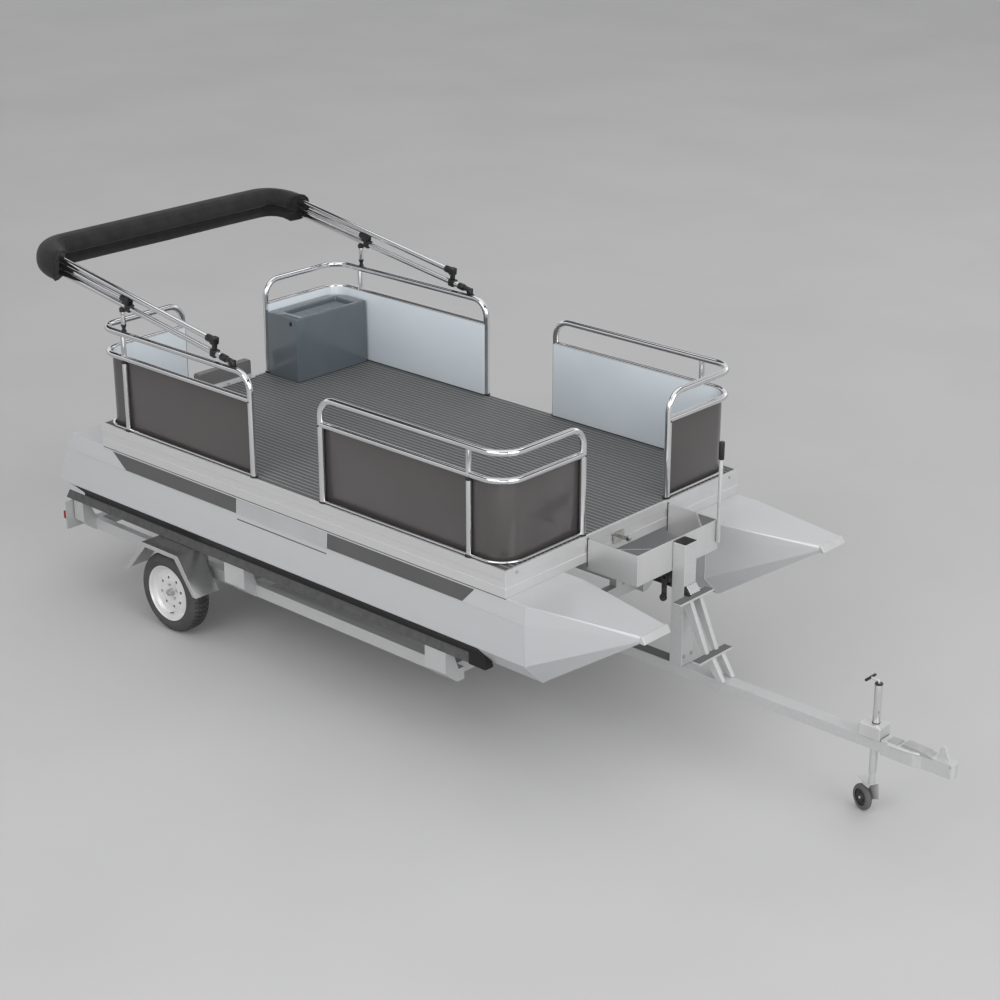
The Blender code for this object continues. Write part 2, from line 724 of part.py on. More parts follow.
def build_side_bow(name, y, start, rise, rise_aft, chrome):
    """One leg of a folded bow, with the jaw that clips it to the main bow."""
    leg = rod((-start, 0, rise), (-MAIN_LEG_LENGTH, 0, rise_aft), BOW_TUBE_R, TUBE_SIDES)
    wide = BOW_TUBE_R + JAW_WALL
    jaw = block((-start - JAW_LENGTH / 2, -wide, 0), (JAW_LENGTH / 2 - start, wide, rise + BOW_TUBE_R / 2))
    if rise < 2 * wide:
        jaw = block((-start - JAW_LENGTH / 2, -wide, 0), (-start + GAP, wide, rise - BOW_TUBE_R / 4))
    saddle = rod((OVERRUN - start + JAW_LENGTH, 0, 0), (-start - JAW_LENGTH - OVERRUN, 0, 0),
                 BOW_TUBE_R + GAP * 2, TUBE_SIDES)
    add_mesh(name, tilted(union(leg, cut(jaw, saddle)), y), chrome)


def build_rail_hinge(name, y, nylon):
    """A saddle on the top rail with an ear and a pin, on which the main bow's fork turns."""
    centre = shade_point(0, 0, y)
    rail_top = DECK_TOP + TOP_RAIL_HEIGHT + TUBE_R + GAP * 3
    half = SADDLE_LENGTH / 2
    saddle = block((centre.x - half, y - TUBE_R, rail_top - TUBE_R / 2),
                   (centre.x + half, y + TUBE_R, rail_top + SADDLE_HEIGHT / 3))
    rail_line = DECK_TOP + TOP_RAIL_HEIGHT + GAP
    rail = rod((centre.x - SADDLE_LENGTH, y, rail_line), (centre.x + SADDLE_LENGTH, y, rail_line),
               TUBE_R + GAP * 2, TUBE_SIDES * 2)
    ear = block((centre.x - FORK_HEIGHT / 3, y - EAR_THICKNESS / 2, rail_top),
                (centre.x + FORK_HEIGHT / 3, y + EAR_THICKNESS / 2, centre.z + FORK_HEIGHT / 3))
    reach = EAR_THICKNESS / 2 + PIN_GAP + FORK_PLATE * 1.5
    pin = rod((centre.x, y - reach, centre.z), (centre.x, y + reach, centre.z), HINGE_PIN_R, 12)
    add_mesh(name, union(cut(saddle, rail), ear, pin), nylon)


def build_strut(name, y, nylon):
    """The post that carries the folded frame above the stern railing."""
    under_bow = shade_point((HINGE_X - STRUT_X) / math.cos(FRAME_TILT), 0, y)
    rail_top = DECK_TOP + TOP_RAIL_HEIGHT + TUBE_R + GAP * 3
    top = under_bow.z - BOW_TUBE_R / math.cos(FRAME_TILT) - GAP * 3
    x = under_bow.x
    cap = rod((x, y, top - STRUT_CAP_LENGTH), (x, y, top + BOW_TUBE_R / 2), STRUT_CAP_R, 12)
    groove = rod(shade_point(0, 0, y), shade_point(MAIN_LEG_LENGTH, 0, y), BOW_TUBE_R + GAP * 2, TUBE_SIDES)
    stem = rod((x, y, rail_top), (x, y, top - STRUT_CAP_LENGTH / 2), STRUT_R, 12)
    half = SADDLE_LENGTH / 2
    saddle = block((x - half, y - TUBE_R, rail_top - TUBE_R / 2),
                   (x + half, y + TUBE_R, rail_top + SADDLE_HEIGHT))
    rail_line = DECK_TOP + TOP_RAIL_HEIGHT + GAP
    rail = rod((x - SADDLE_LENGTH, y, rail_line), (x + SADDLE_LENGTH, y, rail_line),
               TUBE_R + GAP * 2, TUBE_SIDES * 2)
    stem_seat = union(cut(saddle, rail), stem, cut(cap, groove))
    add_mesh(name, stem_seat, nylon)


def bunk_outline(hand, inner_side):
    """A board's section whose slanted top lies along the pontoon's lower edge."""
    outer = DECK_WIDTH / 2
    inner = outer - PONTOON_WIDTH
    side_drop = FRAME_HEIGHT + GAP + PONTOON_SIDE_DROP
    clear = GAP * 3
    spots = []
    for across, kind in ((BUNK_OUT, "low"), (BUNK_OUT, "top"), (BUNK_OUT - BUNK_WIDTH, "top"),
                         (BUNK_OUT - BUNK_WIDTH, "low")):
        if kind == "top":
            drop = side_drop + (outer - across) + clear
        else:
            drop = BUNK_BOTTOM_DROP
        y = inner + outer - across if inner_side else across
        spots.append((hand * y, DECK_TOP - drop))
    return spots


def build_bunks(finish):
    for name, hand in SIDES:
        for where, inner_side in (("outer", False), ("inner", True)):
            outline = bunk_outline(hand, inner_side)
            board = prism(outline, 0, DECK_X + BUNK_AFT, DECK_X + BUNK_FORWARD)
            add_mesh(f"bunk_{name}_{where}", board, finish)


def build_trailer_frame(galvanised):
    rail_low = RAIL_TOP_DROP + RAIL_HEIGHT
    bunk_low = BUNK_BOTTOM_DROP + GAP
    for name, hand in SIDES:
        rail = block(place(RAIL_AFT, hand * (RAIL_OUT - RAIL_WIDTH), rail_low),
                     place(RAIL_FORWARD, hand * RAIL_OUT, RAIL_TOP_DROP))
        pieces = []
        seats = (
            (AFT_SEAT_X, AFT_SEAT_LENGTH), (CROSS_MIDDLE, MIDDLE_SEAT_LENGTH),
            (CROSS_FORWARD, FORWARD_SEAT_LENGTH),
        )
        for x, length in seats:
            outline = (
                (hand * (RAIL_OUT - BUNK_PLATE), DECK_TOP - rail_low),
                (hand * (RAIL_OUT + BUNK_PLATE), DECK_TOP - rail_low),
                (hand * (BUNK_OUT - BUNK_PLATE), DECK_TOP - RAIL_TOP_DROP),
                (hand * (BUNK_OUT - BUNK_PLATE), DECK_TOP - bunk_low),
                (hand * (BUNK_OUT - BUNK_WIDTH), DECK_TOP - bunk_low),
                (hand * (RAIL_OUT - BUNK_PLATE), DECK_TOP - RAIL_TOP_DROP),
            )
            pieces.append(prism(outline, 0, DECK_X + x - length / 2, DECK_X + x + length / 2))
        plate = block(
            place(RAIL_AFT - LAMP_PLATE_THICKNESS, hand * (RAIL_OUT - RAIL_WIDTH),
                  LAMP_PLATE_TOP_DROP + LAMP_PLATE_HEIGHT),
            place(RAIL_AFT + GAP, hand * LAMP_PLATE_OUT, LAMP_PLATE_TOP_DROP),
        )
        add_mesh(f"side_rail_{name}", union(rail, *pieces, plate), galvanised)
    inner_y = DECK_WIDTH / 2 - PONTOON_WIDTH + (DECK_WIDTH / 2 - BUNK_OUT)
    edge = RAIL_OUT - RAIL_WIDTH - GAP
    for number, x in enumerate((CROSS_AFT, CROSS_MIDDLE, CROSS_FORWARD)):
        beam = block(place(x - CROSS_WIDTH / 2, -edge, rail_low),
                     place(x + CROSS_WIDTH / 2, edge, RAIL_TOP_DROP))
        legs = []
        for _, hand in SIDES:
            near, far = inner_y, inner_y + BUNK_WIDTH
            legs.append(block(place(x - CROSS_WIDTH / 2, hand * near, RAIL_TOP_DROP + OVERRUN),
                              place(x + CROSS_WIDTH / 2, hand * far, bunk_low)))
        beam = union(beam, *legs)
        if x > DRAWBAR_AFT:
            slot_half = DRAWBAR_WIDTH / 2 + GAP
            slot = block(place(x - CROSS_WIDTH, -slot_half, DRAWBAR_TOP_DROP + DRAWBAR_HEIGHT + GAP),
                         place(x + CROSS_WIDTH, slot_half, RAIL_TOP_DROP - OVERRUN))
            beam = cut(beam, slot)
        add_mesh(f"cross_beam_{number + 1}", beam, galvanised)
    half = DRAWBAR_WIDTH / 2
    bar = block(place(DRAWBAR_AFT, -half, DRAWBAR_TOP_DROP + DRAWBAR_HEIGHT),
                place(DRAWBAR_FORWARD, half, DRAWBAR_TOP_DROP))
    bore = rod(place(JOCKEY_X, 0, DRAWBAR_TOP_DROP + DRAWBAR_HEIGHT + OVERRUN),
               place(JOCKEY_X, 0, DRAWBAR_TOP_DROP - OVERRUN), JOCKEY_R + GAP * 2, STUB_SIDES)
    add_mesh("drawbar", cut(bar, bore), galvanised)


def build_axle(galvanised):
    centre_drop = DECK_TOP - TYRE_R
    half = AXLE_SIZE / 2
    beam_end = RAIL_OUT + RAIL_WIDTH / 2
    beam = block(place(WHEEL_X - half, -beam_end, centre_drop + half),
                 place(WHEEL_X + half, beam_end, centre_drop - half))
    pieces = []
    for _, hand in SIDES:
        hanger = block(place(WHEEL_X - AXLE_SIZE * 1.5, hand * (RAIL_OUT - RAIL_WIDTH), centre_drop),
                       place(WHEEL_X + AXLE_SIZE * 1.5, hand * RAIL_OUT, RAIL_TOP_DROP + RAIL_HEIGHT + GAP))
        stub = rod(place(WHEEL_X, hand * (beam_end - OVERRUN), centre_drop),
                   place(WHEEL_X, hand * (WHEEL_OUT - RIM_DISC_DEPTH - RIM_WALL), centre_drop),
                   STUB_R, STUB_SIDES)
        pieces += [hanger, stub]
    add_mesh("axle", union(beam, *pieces), galvanised)


def wheel_place(mesh, hand):
    """Stands a wheel made outwards along +Y at its hub."""
    if hand < 0:
        mesh.transform(Matrix.Rotation(math.pi, 4, "Z"))
    return moved(mesh, place(WHEEL_X, hand * WHEEL_OUT, DECK_TOP - TYRE_R))


def build_wheels(rubber, steel):
    width = TYRE_WIDTH
    seat = RIM_R - RIM_LIP
    shoulder = TYRE_R - SHOULDER_DROP
    seat_in, bulge_in, tread_in = SEAT_SHARE * width, BULGE_SHARE * width, TREAD_EDGE_SHARE * width
    # radius, place along the axle counted outwards from the wheel's outer side
    tyre_profile = (
        (seat, -seat_in), (RIM_R + RIM_LIP, -bulge_in), (shoulder, 0.0), (TYRE_R, -tread_in),
        (TYRE_R, tread_in - width), (shoulder, -width), (RIM_R + RIM_LIP, bulge_in - width),
        (seat, seat_in - width),
    )
    inner_seat = seat - GAP
    wall = RIM_WALL
    disc_out, disc_in = -RIM_DISC_DEPTH, -RIM_DISC_DEPTH - wall
    bore = STUB_R + GAP * 2
    rim_profile = (
        (0.0, disc_out), (bore, disc_out), (bore, disc_out - HUB_REACH * 3),
        (HUB_R, disc_out - HUB_REACH * 3),
        (HUB_R, disc_in), (inner_seat - wall, disc_in), (inner_seat - wall, seat_in - width),
        (inner_seat, seat_in - width), (inner_seat, -seat_in), (inner_seat - wall, -seat_in),
        (inner_seat - wall, disc_out), (HUB_R, disc_out), (HUB_R, disc_out + HUB_REACH),
        (0.0, disc_out + HUB_REACH),
    )
    for name, hand in SIDES:
        tyre = wheel_place(turned(tyre_profile, WHEEL_STEPS), hand)
        smooth(add_mesh(f"tyre_{name}", tyre, rubber))
        rim = wheel_place(turned(rim_profile, WHEEL_STEPS), hand)
        smooth(add_mesh(f"wheel_rim_{name}", rim, steel))


def build_mudguards(galvanised):
    """Three flat stretches of sheet over the tyre, with a lip turned down along the outer edge."""
    foot, top = DECK_TOP - GUARD_FOOT_DROP, DECK_TOP - GUARD_TOP_DROP
    t = GUARD_SHEET
    upper = (
        (GUARD_AFT_FOOT, foot), (GUARD_AFT_TOP, top), (GUARD_FORWARD_TOP, top), (GUARD_FORWARD_FOOT, foot)
    )
    outline = [(DECK_X + x, z) for x, z in upper]
    outline += [(DECK_X + x + (t if x < WHEEL_X else -t) * 1.2, z - (0 if z == foot else t))
                for x, z in upper[::-1]]
    lip = GUARD_LIP
    lip_outline = [(DECK_X + x, z) for x, z in upper]
    lip_outline += [(DECK_X + x + (lip if x < WHEEL_X else -lip) * 1.2, z - (0 if z == foot else lip))
                    for x, z in upper[::-1]]
    for name, hand in SIDES:
        skin = prism(outline, 1, hand * GUARD_IN, hand * GUARD_OUT)
        edge = prism(lip_outline, 1, hand * (GUARD_OUT - t), hand * GUARD_OUT)
        stays = [
            block(place(x, hand * (RAIL_OUT + GAP), RAIL_TOP_DROP),
                  place(x + GUARD_STAY, hand * (GUARD_IN + t), GUARD_TOP_DROP + t / 2))
            for x in (GUARD_AFT_TOP, GUARD_FORWARD_TOP - GUARD_STAY)
        ]
        add_mesh(f"mudguard_{name}", union(skin, edge, *stays), galvanised)


def build_lamps(red):
    for name, hand in SIDES:
        x = RAIL_AFT - LAMP_PLATE_THICKNESS - GAP
        y = LAMP_PLATE_OUT - GAP
        middle = LAMP_PLATE_TOP_DROP + LAMP_PLATE_HEIGHT / 2
        lens = block(place(x - LAMP_DEPTH, hand * (y - LAMP_SIZE), middle + LAMP_SIZE / 2),
                     place(x, hand * y, middle - LAMP_SIZE / 2))
        add_mesh(f"tail_lamp_{name}", lens, red)


def build_winch_stand(galvanised, dark, tread):
    half_x, half_y = POST_LENGTH / 2, POST_WIDTH / 2
    post = block(place(POST_X - half_x, -half_y, DRAWBAR_TOP_DROP - GAP),
                 place(POST_X + half_x, half_y, POST_TOP_DROP))
    add_mesh("winch_post", post, galvanised)
    x = POST_X - half_x - GAP - WINCH_CHEEK_R
    w = WINCH_WIDTH / 2
    drum = rod(place(x, -w, WINCH_DROP), place(x, w, WINCH_DROP), WINCH_DRUM_R, 16)
    cheeks = []
    for _, hand in SIDES:
        cheeks.append(rod(place(x, hand * w, WINCH_DROP), place(x, hand * (w - WINCH_CHEEK), WINCH_DROP),
                          WINCH_CHEEK_R, 16))
    back = block(place(x, -w + PIN_GAP, WINCH_DROP + WINCH_CHEEK_R),
                 place(POST_X - half_x - GAP, w - PIN_GAP, WINCH_DROP))
    hub_y = -w - OVERRUN
    shaft = rod(place(x, -w + WINCH_CHEEK / 2, WINCH_DROP), place(x, hub_y, WINCH_DROP), CRANK_R, 8)
    arm = tube(
        rounded((place(x, hub_y + CRANK_R, WINCH_DROP), place(x, hub_y + CRANK_R, WINCH_DROP + CRANK_LENGTH),
                 place(x, hub_y - CRANK_LENGTH / 2, WINCH_DROP + CRANK_LENGTH)), (CRANK_R * 2,), steps=2),
        CRANK_R, 8,
    )
    add_mesh("winch", union(drum, *cheeks, back, shaft, arm), dark)
    steps = []
    half_w, half_d = STEP_WIDTH / 2, STEP_DEPTH / 2
    for step_x, drop in ((UPPER_STEP_X, UPPER_STEP_DROP), (LOWER_STEP_X, LOWER_STEP_DROP)):
        steps.append(block(place(step_x - half_d, STEP_SHIFT - half_w, drop + STEP_THICKNESS),
                           place(step_x + half_d, STEP_SHIFT + half_w, drop)))
    foot_drop = DRAWBAR_TOP_DROP - GAP
    start_x = POST_X + half_x + GAP
    for _, hand in SIDES:
        y_low = hand * STRINGER_HALF - STRINGER_WIDTH / 2
        outline = [(p.x, p.z) for p in (
            place(start_x, 0, UPPER_STEP_DROP + STEP_THICKNESS / 2),
            place(start_x + STRINGER_DEPTH, 0, UPPER_STEP_DROP + STEP_THICKNESS / 2),
            place(STRINGER_FOOT_X, 0, foot_drop),
            place(STRINGER_FOOT_X - STRINGER_DEPTH * 1.5, 0, foot_drop),
            place(start_x, 0, UPPER_STEP_DROP + STRINGER_DEPTH * 2),
        )]
        steps.append(prism(outline, 1, y_low, y_low + STRINGER_WIDTH))
    add_mesh("boarding_steps", union(*steps), tread)


def swung(mesh):
    """Turns what hangs on the jockey leg about the leg's own line."""
    pivot = place(JOCKEY_X, 0, 0)
    turn = Matrix.Rotation(-math.radians(JOCKEY_SWING), 4, "Z")
    mesh.transform(Matrix.Translation(pivot) @ turn @ Matrix.Translation(-pivot))
    return mesh


def build_jockey(galvanised, dark, rubber):
    top = DRAWBAR_TOP_DROP
    leg = rod(place(JOCKEY_X, 0, JOCKEY_FOOT_DROP), place(JOCKEY_X, 0, JOCKEY_TOP_DROP), JOCKEY_R,
              STUB_SIDES)
    half_w = JOCKEY_PLATE_WIDTH / 2
    plate = block(place(JOCKEY_X - JOCKEY_PLATE_BACK, -half_w, top - GAP),
                  place(JOCKEY_X + JOCKEY_PLATE_AHEAD, half_w, top - JOCKEY_PLATE_THICKNESS))
    shaft_top = JOCKEY_TOP_DROP - OVERRUN
    crank = tube(
        rounded((place(JOCKEY_X, 0, JOCKEY_TOP_DROP + GAP), place(JOCKEY_X, 0, shaft_top),
                 place(JOCKEY_X - HANDLE_REACH, 0, shaft_top)), (CRANK_R * 1.5,), steps=2), CRANK_R, 8,
    )
    grip = rod(place(JOCKEY_X - HANDLE_REACH, -HANDLE_HALF, shaft_top),
               place(JOCKEY_X - HANDLE_REACH, HANDLE_HALF, shaft_top), HANDLE_R, 12)
    add_mesh("jockey_leg", union(leg, plate, crank, grip), galvanised)
    wheel_drop = DECK_TOP - JOCKEY_WHEEL_R
    wheel_x = JOCKEY_X - JOCKEY_TRAIL
    half = JOCKEY_WHEEL_WIDTH / 2
    plate_in = half + RUNNING_GAP
    plate_out = plate_in + JOCKEY_FORK_PLATE
    crown_low = JOCKEY_FOOT_DROP + OVERRUN
    crown = block(place(wheel_x - JOCKEY_R, -plate_out, crown_low),
                  place(JOCKEY_X + JOCKEY_R, plate_out, JOCKEY_FOOT_DROP + GAP))
    pieces = []
    for _, hand in SIDES:
        outline = [(p.x, p.z) for p in (
            place(JOCKEY_X + JOCKEY_R, 0, crown_low - JOCKEY_FORK_PLATE),
            place(wheel_x - JOCKEY_R, 0, crown_low - JOCKEY_FORK_PLATE),
            place(wheel_x - JOCKEY_R, 0, wheel_drop + JOCKEY_R),
            place(wheel_x + JOCKEY_R, 0, wheel_drop + JOCKEY_R),
        )]
        pieces.append(prism(outline, 1, hand * plate_in, hand * plate_out))
    axle = rod(place(wheel_x, -plate_out, wheel_drop), place(wheel_x, plate_out, wheel_drop),
               JOCKEY_AXLE_R, 16)
    add_mesh("jockey_fork", swung(union(crown, *pieces, axle)), galvanised)
    bore = JOCKEY_AXLE_R + GAP * 2
    r, hub, bead = JOCKEY_WHEEL_R, JOCKEY_HUB_R, JOCKEY_BEAD_R
    dish, edge = JOCKEY_DISH, JOCKEY_EDGE
    profile = (
        (bore, half), (hub, half), (hub, half - dish), (bead, half - dish), (bead, half), (r - edge, half),
        (r, half - edge), (r, edge - half), (r - edge, -half), (bead, -half), (bead, dish - half),
        (hub, dish - half), (hub, -half), (bore, -half),
    )
    wheel = moved(turned(profile, 32), place(wheel_x, 0, wheel_drop))
    smooth(add_mesh("jockey_wheel", swung(wheel), rubber))


def build_coupling(steel):
    """A pressed head over the drawbar's end, hollow below, with its lever."""
    half, nose = COUPLING_WIDTH / 2, COUPLING_NOSE_WIDTH / 2
    inner = DRAWBAR_WIDTH / 2 + GAP
    top, low = COUPLING_TOP_DROP, COUPLING_TOP_DROP + COUPLING_HEIGHT
    waist = COUPLING_X + (COUPLING_NOSE - COUPLING_X) * COUPLING_WAIST_SHARE
    outline = []
    for x, y in ((COUPLING_X, half), (waist, half), (waist + half, nose), (COUPLING_NOSE - nose / 2, nose),
                 (COUPLING_NOSE, nose / 2)):
        outline.append((DECK_X + x, y))
    outline += [(x, -y) for x, y in outline[::-1]]
    head = prism(outline, 2, DECK_TOP - low, DECK_TOP - top)
    socket = block(place(COUPLING_X - OVERRUN, -inner, low + OVERRUN),
                   place(DRAWBAR_FORWARD + GAP, inner, DRAWBAR_TOP_DROP - GAP))
    ball_x = COUPLING_NOSE - nose - COUPLING_WALL
    cup = rod(place(ball_x, 0, low + OVERRUN), place(ball_x, 0, top + COUPLING_WALL * 3), BALL_CUP_R, 20)
    lever = prism([(p.x, p.z) for p in (
        place(ball_x - LEVER_BACK, 0, top + COUPLING_WALL), place(ball_x, 0, top + COUPLING_WALL),
        place(ball_x - LEVER_TOP_AHEAD, 0, top - LEVER_HEIGHT),
        place(ball_x - LEVER_TOP_BACK, 0, top - LEVER_HEIGHT),
    )], 1, -LEVER_WIDTH / 2, LEVER_WIDTH / 2)
    add_mesh("coupling", union(cut(head, socket, cup), lever), steel)


def main():
    for old in list(bpy.data.objects):
        bpy.data.objects.remove(old, do_unlink=True)
    aluminium = finish_material("brushed_aluminium", (0.62, 0.62, 0.63), 0.38, 0.9)
    frame_metal = finish_material("deck_extrusion", (0.6, 0.6, 0.6), 0.35, 0.9)
    deck_grey = finish_material("ribbed_deck", (0.085, 0.085, 0.085), 0.55, 0.0)
    chrome = finish_material("polished_tube", (0.75, 0.75, 0.76), 0.1, 1.0)
    panel_grey = finish_material("fence_sheet", (0.09, 0.085, 0.085), 0.3, 0.0)
    console_grey = finish_material("console_plastic", (0.11, 0.13, 0.15), 0.25, 0.0)
    mount_grey = finish_material("mount_paint", (0.13, 0.13, 0.13), 0.5, 0.0)
    galvanised = finish_material("galvanised_steel", (0.6, 0.6, 0.6), 0.4, 0.8)
    nylon = finish_material("black_nylon", (0.012, 0.012, 0.012), 0.4, 0.0)
    fabric = finish_material("shade_fabric", (0.03, 0.03, 0.03), 0.8, 0.0)
    bunk_grey = finish_material("bunk_cover", (0.09, 0.09, 0.09), 0.7, 0.0)
    rubber = finish_material("tyre_rubber", (0.02, 0.02, 0.02), 0.7, 0.0)
    lamp_red = finish_material("lamp_lens", (0.4, 0.01, 0.02), 0.2, 0.0)
    build_pontoons(aluminium)
    build_deck(frame_metal, deck_grey)
    build_fences(chrome, panel_grey)
    build_console(console_grey)
    build_motor_mount(mount_grey, aluminium)
    build_bow_bracket(aluminium)
    build_pole(galvanised)
    build_shade(chrome, nylon, fabric)
    build_bunks(bunk_grey)
    build_trailer_frame(galvanised)
    build_axle(galvanised)
    build_wheels(rubber, galvanised)
    build_mudguards(galvanised)
    build_lamps(lamp_red)
    build_winch_stand(galvanised, nylon, galvanised)
    build_jockey(galvanised, nylon, rubber)
    build_coupling(galvanised)


main()
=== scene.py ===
"""Looks of a small pontoon boat on its road trailer, in the frame of its CAD model.

Lengths are metres. Places on the boat are given from the deck: x forward from its aft edge,
y to port from its middle line and z up from its top.
"""

from __future__ import annotations

import logging
import math
from contextlib import contextmanager
from dataclasses import dataclass, field
from enum import Enum
from typing import Callable, Iterable, Iterator, Sequence

import bpy
from mathutils import Matrix, Vector


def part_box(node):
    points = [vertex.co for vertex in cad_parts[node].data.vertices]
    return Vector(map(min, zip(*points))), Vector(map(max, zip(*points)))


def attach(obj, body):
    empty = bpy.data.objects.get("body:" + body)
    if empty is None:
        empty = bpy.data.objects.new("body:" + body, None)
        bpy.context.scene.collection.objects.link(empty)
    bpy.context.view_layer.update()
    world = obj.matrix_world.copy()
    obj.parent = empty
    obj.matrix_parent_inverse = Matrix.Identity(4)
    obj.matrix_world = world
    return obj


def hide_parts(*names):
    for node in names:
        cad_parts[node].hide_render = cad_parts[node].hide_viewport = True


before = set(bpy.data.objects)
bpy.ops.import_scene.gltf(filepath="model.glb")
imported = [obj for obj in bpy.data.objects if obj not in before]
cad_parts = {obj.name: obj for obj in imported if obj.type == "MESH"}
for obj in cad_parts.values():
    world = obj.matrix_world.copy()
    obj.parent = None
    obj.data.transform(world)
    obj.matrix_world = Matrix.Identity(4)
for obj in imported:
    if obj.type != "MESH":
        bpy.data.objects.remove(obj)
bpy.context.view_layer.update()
log = logging.getLogger("pontoon_boat")

DECK_LOW, DECK_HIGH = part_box("deck_frame")
DECK_ORIGIN = Vector((DECK_LOW.x, 0.0, DECK_HIGH.z))
DECK_LENGTH = DECK_HIGH.x - DECK_LOW.x
DECK_HALF = DECK_HIGH.y
RAIL_LINE = DECK_HALF - 0.0216
RAIL_HEIGHT = 0.66
RAIL_RADIUS = 0.0205
WHEEL_OUT = DECK_HALF + 0.0475
WHEEL_WIDTH = 0.155
ROOT = "boat_and_trailer"

Piece = bpy.types.Object
Tree = bpy.types.NodeTree
Pair = tuple[float, float]
Triple = tuple[float, float, float]


class Side(Enum):
    """The two sides of the boat; the value is the sign of y there."""

    STARBOARD = -1
    PORT = 1

    @property
    def label(self) -> str:
        """The side's name as the CAD nodes spell it."""
        return self.name.lower()


class End(Enum):
    """The two ends of a fence run; the value is the direction that faces away from the cockpit."""

    AFT = -1
    BOW = 1

    @property
    def label(self) -> str:
        """The end's name as the CAD nodes spell it."""
        return self.name.lower()


class Axis(Enum):
    """The axis that a flat outline is pushed along."""

    X = 0
    Y = 1
    Z = 2


def at(x: float, y: float, z: float) -> Vector:
    """A place given in deck measures, as a point of the scene."""
    return DECK_ORIGIN + Vector((x, y, z))


def turn_about(pivot: Vector, angle: float, axis: str) -> Matrix:
    """A turn by an angle in radians round an axis through a point."""
    away, back = Matrix.Translation(pivot), Matrix.Translation(-pivot)
    return away @ Matrix.Rotation(angle, 4, axis) @ back


def side_on(corners: Iterable[Pair]) -> list[Pair]:
    """An outline seen from the boat's side, given in deck measures, in those of the scene."""
    return [(DECK_ORIGIN.x + x, DECK_ORIGIN.z + z) for x, z in corners]


# Materials


def linear(code: str) -> tuple[float, float, float, float]:
    """Turns an sRGB hex value into a linear colour.

    Args:
        code: Six hex digits with a leading hash.

    Returns:
        Linear red, green, blue and a full alpha.
    """
    parts = [int(code[i:i + 2], 16) / 255 for i in (1, 3, 5)]
    return (*[p / 12.92 if p <= 0.04045 else ((p + 0.055) / 1.055) ** 2.4 for p in parts], 1.0)


def add_node(
    tree: Tree, kind: str, inputs: dict | None = None, **settings: object
) -> bpy.types.Node:
    """Adds a node with its settings and links.

    Args:
        tree: The node tree that gets the node.
        kind: The node's type.
        inputs: For each input's name or number, a value or the socket it is linked from.
        **settings: Attributes of the node.

    Returns:
        The new node.
    """
    node = tree.nodes.new(kind)
    for name, value in settings.items():
        setattr(node, name, value)
    for name, value in (inputs or {}).items():
        if isinstance(value, bpy.types.NodeSocket):
            tree.links.new(value, node.inputs[name])
        else:
            node.inputs[name].default_value = value
    return node


@dataclass(frozen=True)
class Finish:
    """A surface: its real material, its colour and the small variation that it shows.

    Args:
        name: The material's name.
        colour: Its main colour, sRGB.
        wear_and_highlight: The colour of its dirtier or lighter patches, sRGB; on the decking it is
            also a painted highlight on the rib tops.
        patch: The size of those patches in metres.
        roughness: The mean roughness.
        swing: How far the roughness goes either way.
        metallic: 1 for bare metal.
        grain: The size of the fine relief in metres.
        relief: The depth of that relief in metres.
        stretch: How tightly the relief's grain is packed along each axis.
    """

    name: str
    colour: str
    wear_and_highlight: str
    patch: float = 0.3
    roughness: float = 0.4
    swing: float = 0.06
    metallic: float = 0.0
    grain: float = 0.002
    relief: float = 0.00005
    stretch: Triple = (1.0, 1.0, 1.0)

    def cloud(
        self, tree: Tree, size: float, detail: float = 4.0
    ) -> bpy.types.NodeSocket:
        """Adds noise of a real size.

        Args:
            tree: The material's node tree.
            size: The size of its patches in metres.
            detail: How many finer layers it has.

        Returns:
            The socket that carries the noise.
        """
        where = add_node(tree, "ShaderNodeTexCoord").outputs["Object"]
        spread = add_node(tree, "ShaderNodeMapping", {"Vector": where, "Scale": self.stretch})
        return add_node(
            tree, "ShaderNodeTexNoise",
            {"Vector": spread.outputs["Vector"], "Scale": 1 / size, "Detail": detail},
        ).outputs["Fac"]

    def mixture(self, tree: Tree) -> bpy.types.NodeSocket:
        """Says where the main colour gives way to the worn one; here in soft patches.

        Args:
            tree: The material's node tree.

        Returns:
            The socket that carries 0 for the main colour and 1 for the worn one.
        """
        return add_node(
            tree, "ShaderNodeMapRange",
            {"Value": self.cloud(tree, self.patch), "From Min": 0.38, "From Max": 0.68},
        ).outputs["Result"]

    def height(self, tree: Tree) -> bpy.types.NodeSocket:
        """Adds the fine relief's height.

        Args:
            tree: The material's node tree.

        Returns:
            The socket that carries the height, from 0 to 1.
        """
        return self.cloud(tree, self.grain, 2.0)

    def extras(self, shader: bpy.types.Node) -> None:
        """Sets what only some finishes have on the shader; the plain finish has nothing more."""

    def material(self) -> bpy.types.Material:
        """The finish's material, built once and then shared.

        Returns:
            The material.
        """
        known = bpy.data.materials.get(self.name)
        if known:
            return known
        made = bpy.data.materials.new(self.name)
        made.use_nodes = True
        tree = made.node_tree
        shader = tree.nodes["Principled BSDF"]
        share = self.mixture(tree)
        ramp = add_node(tree, "ShaderNodeValToRGB", {"Fac": share})
        ramp.color_ramp.elements[0].color = linear(self.colour)
        ramp.color_ramp.elements[1].color = linear(self.wear_and_highlight)
        tree.links.new(ramp.outputs["Color"], shader.inputs["Base Color"])
        gloss = add_node(
            tree, "ShaderNodeMapRange",
            {
                "Value": share, "To Min": max(self.roughness - self.swing, 0.03),
                "To Max": self.roughness + self.swing,
            },
        )
        tree.links.new(gloss.outputs["Result"], shader.inputs["Roughness"])
        shader.inputs["Metallic"].default_value = self.metallic
        self.extras(shader)
        bump = add_node(
            tree, "ShaderNodeBump", {"Height": self.height(tree), "Distance": self.relief}
        )
        tree.links.new(bump.outputs["Normal"], shader.inputs["Normal"])
        return made


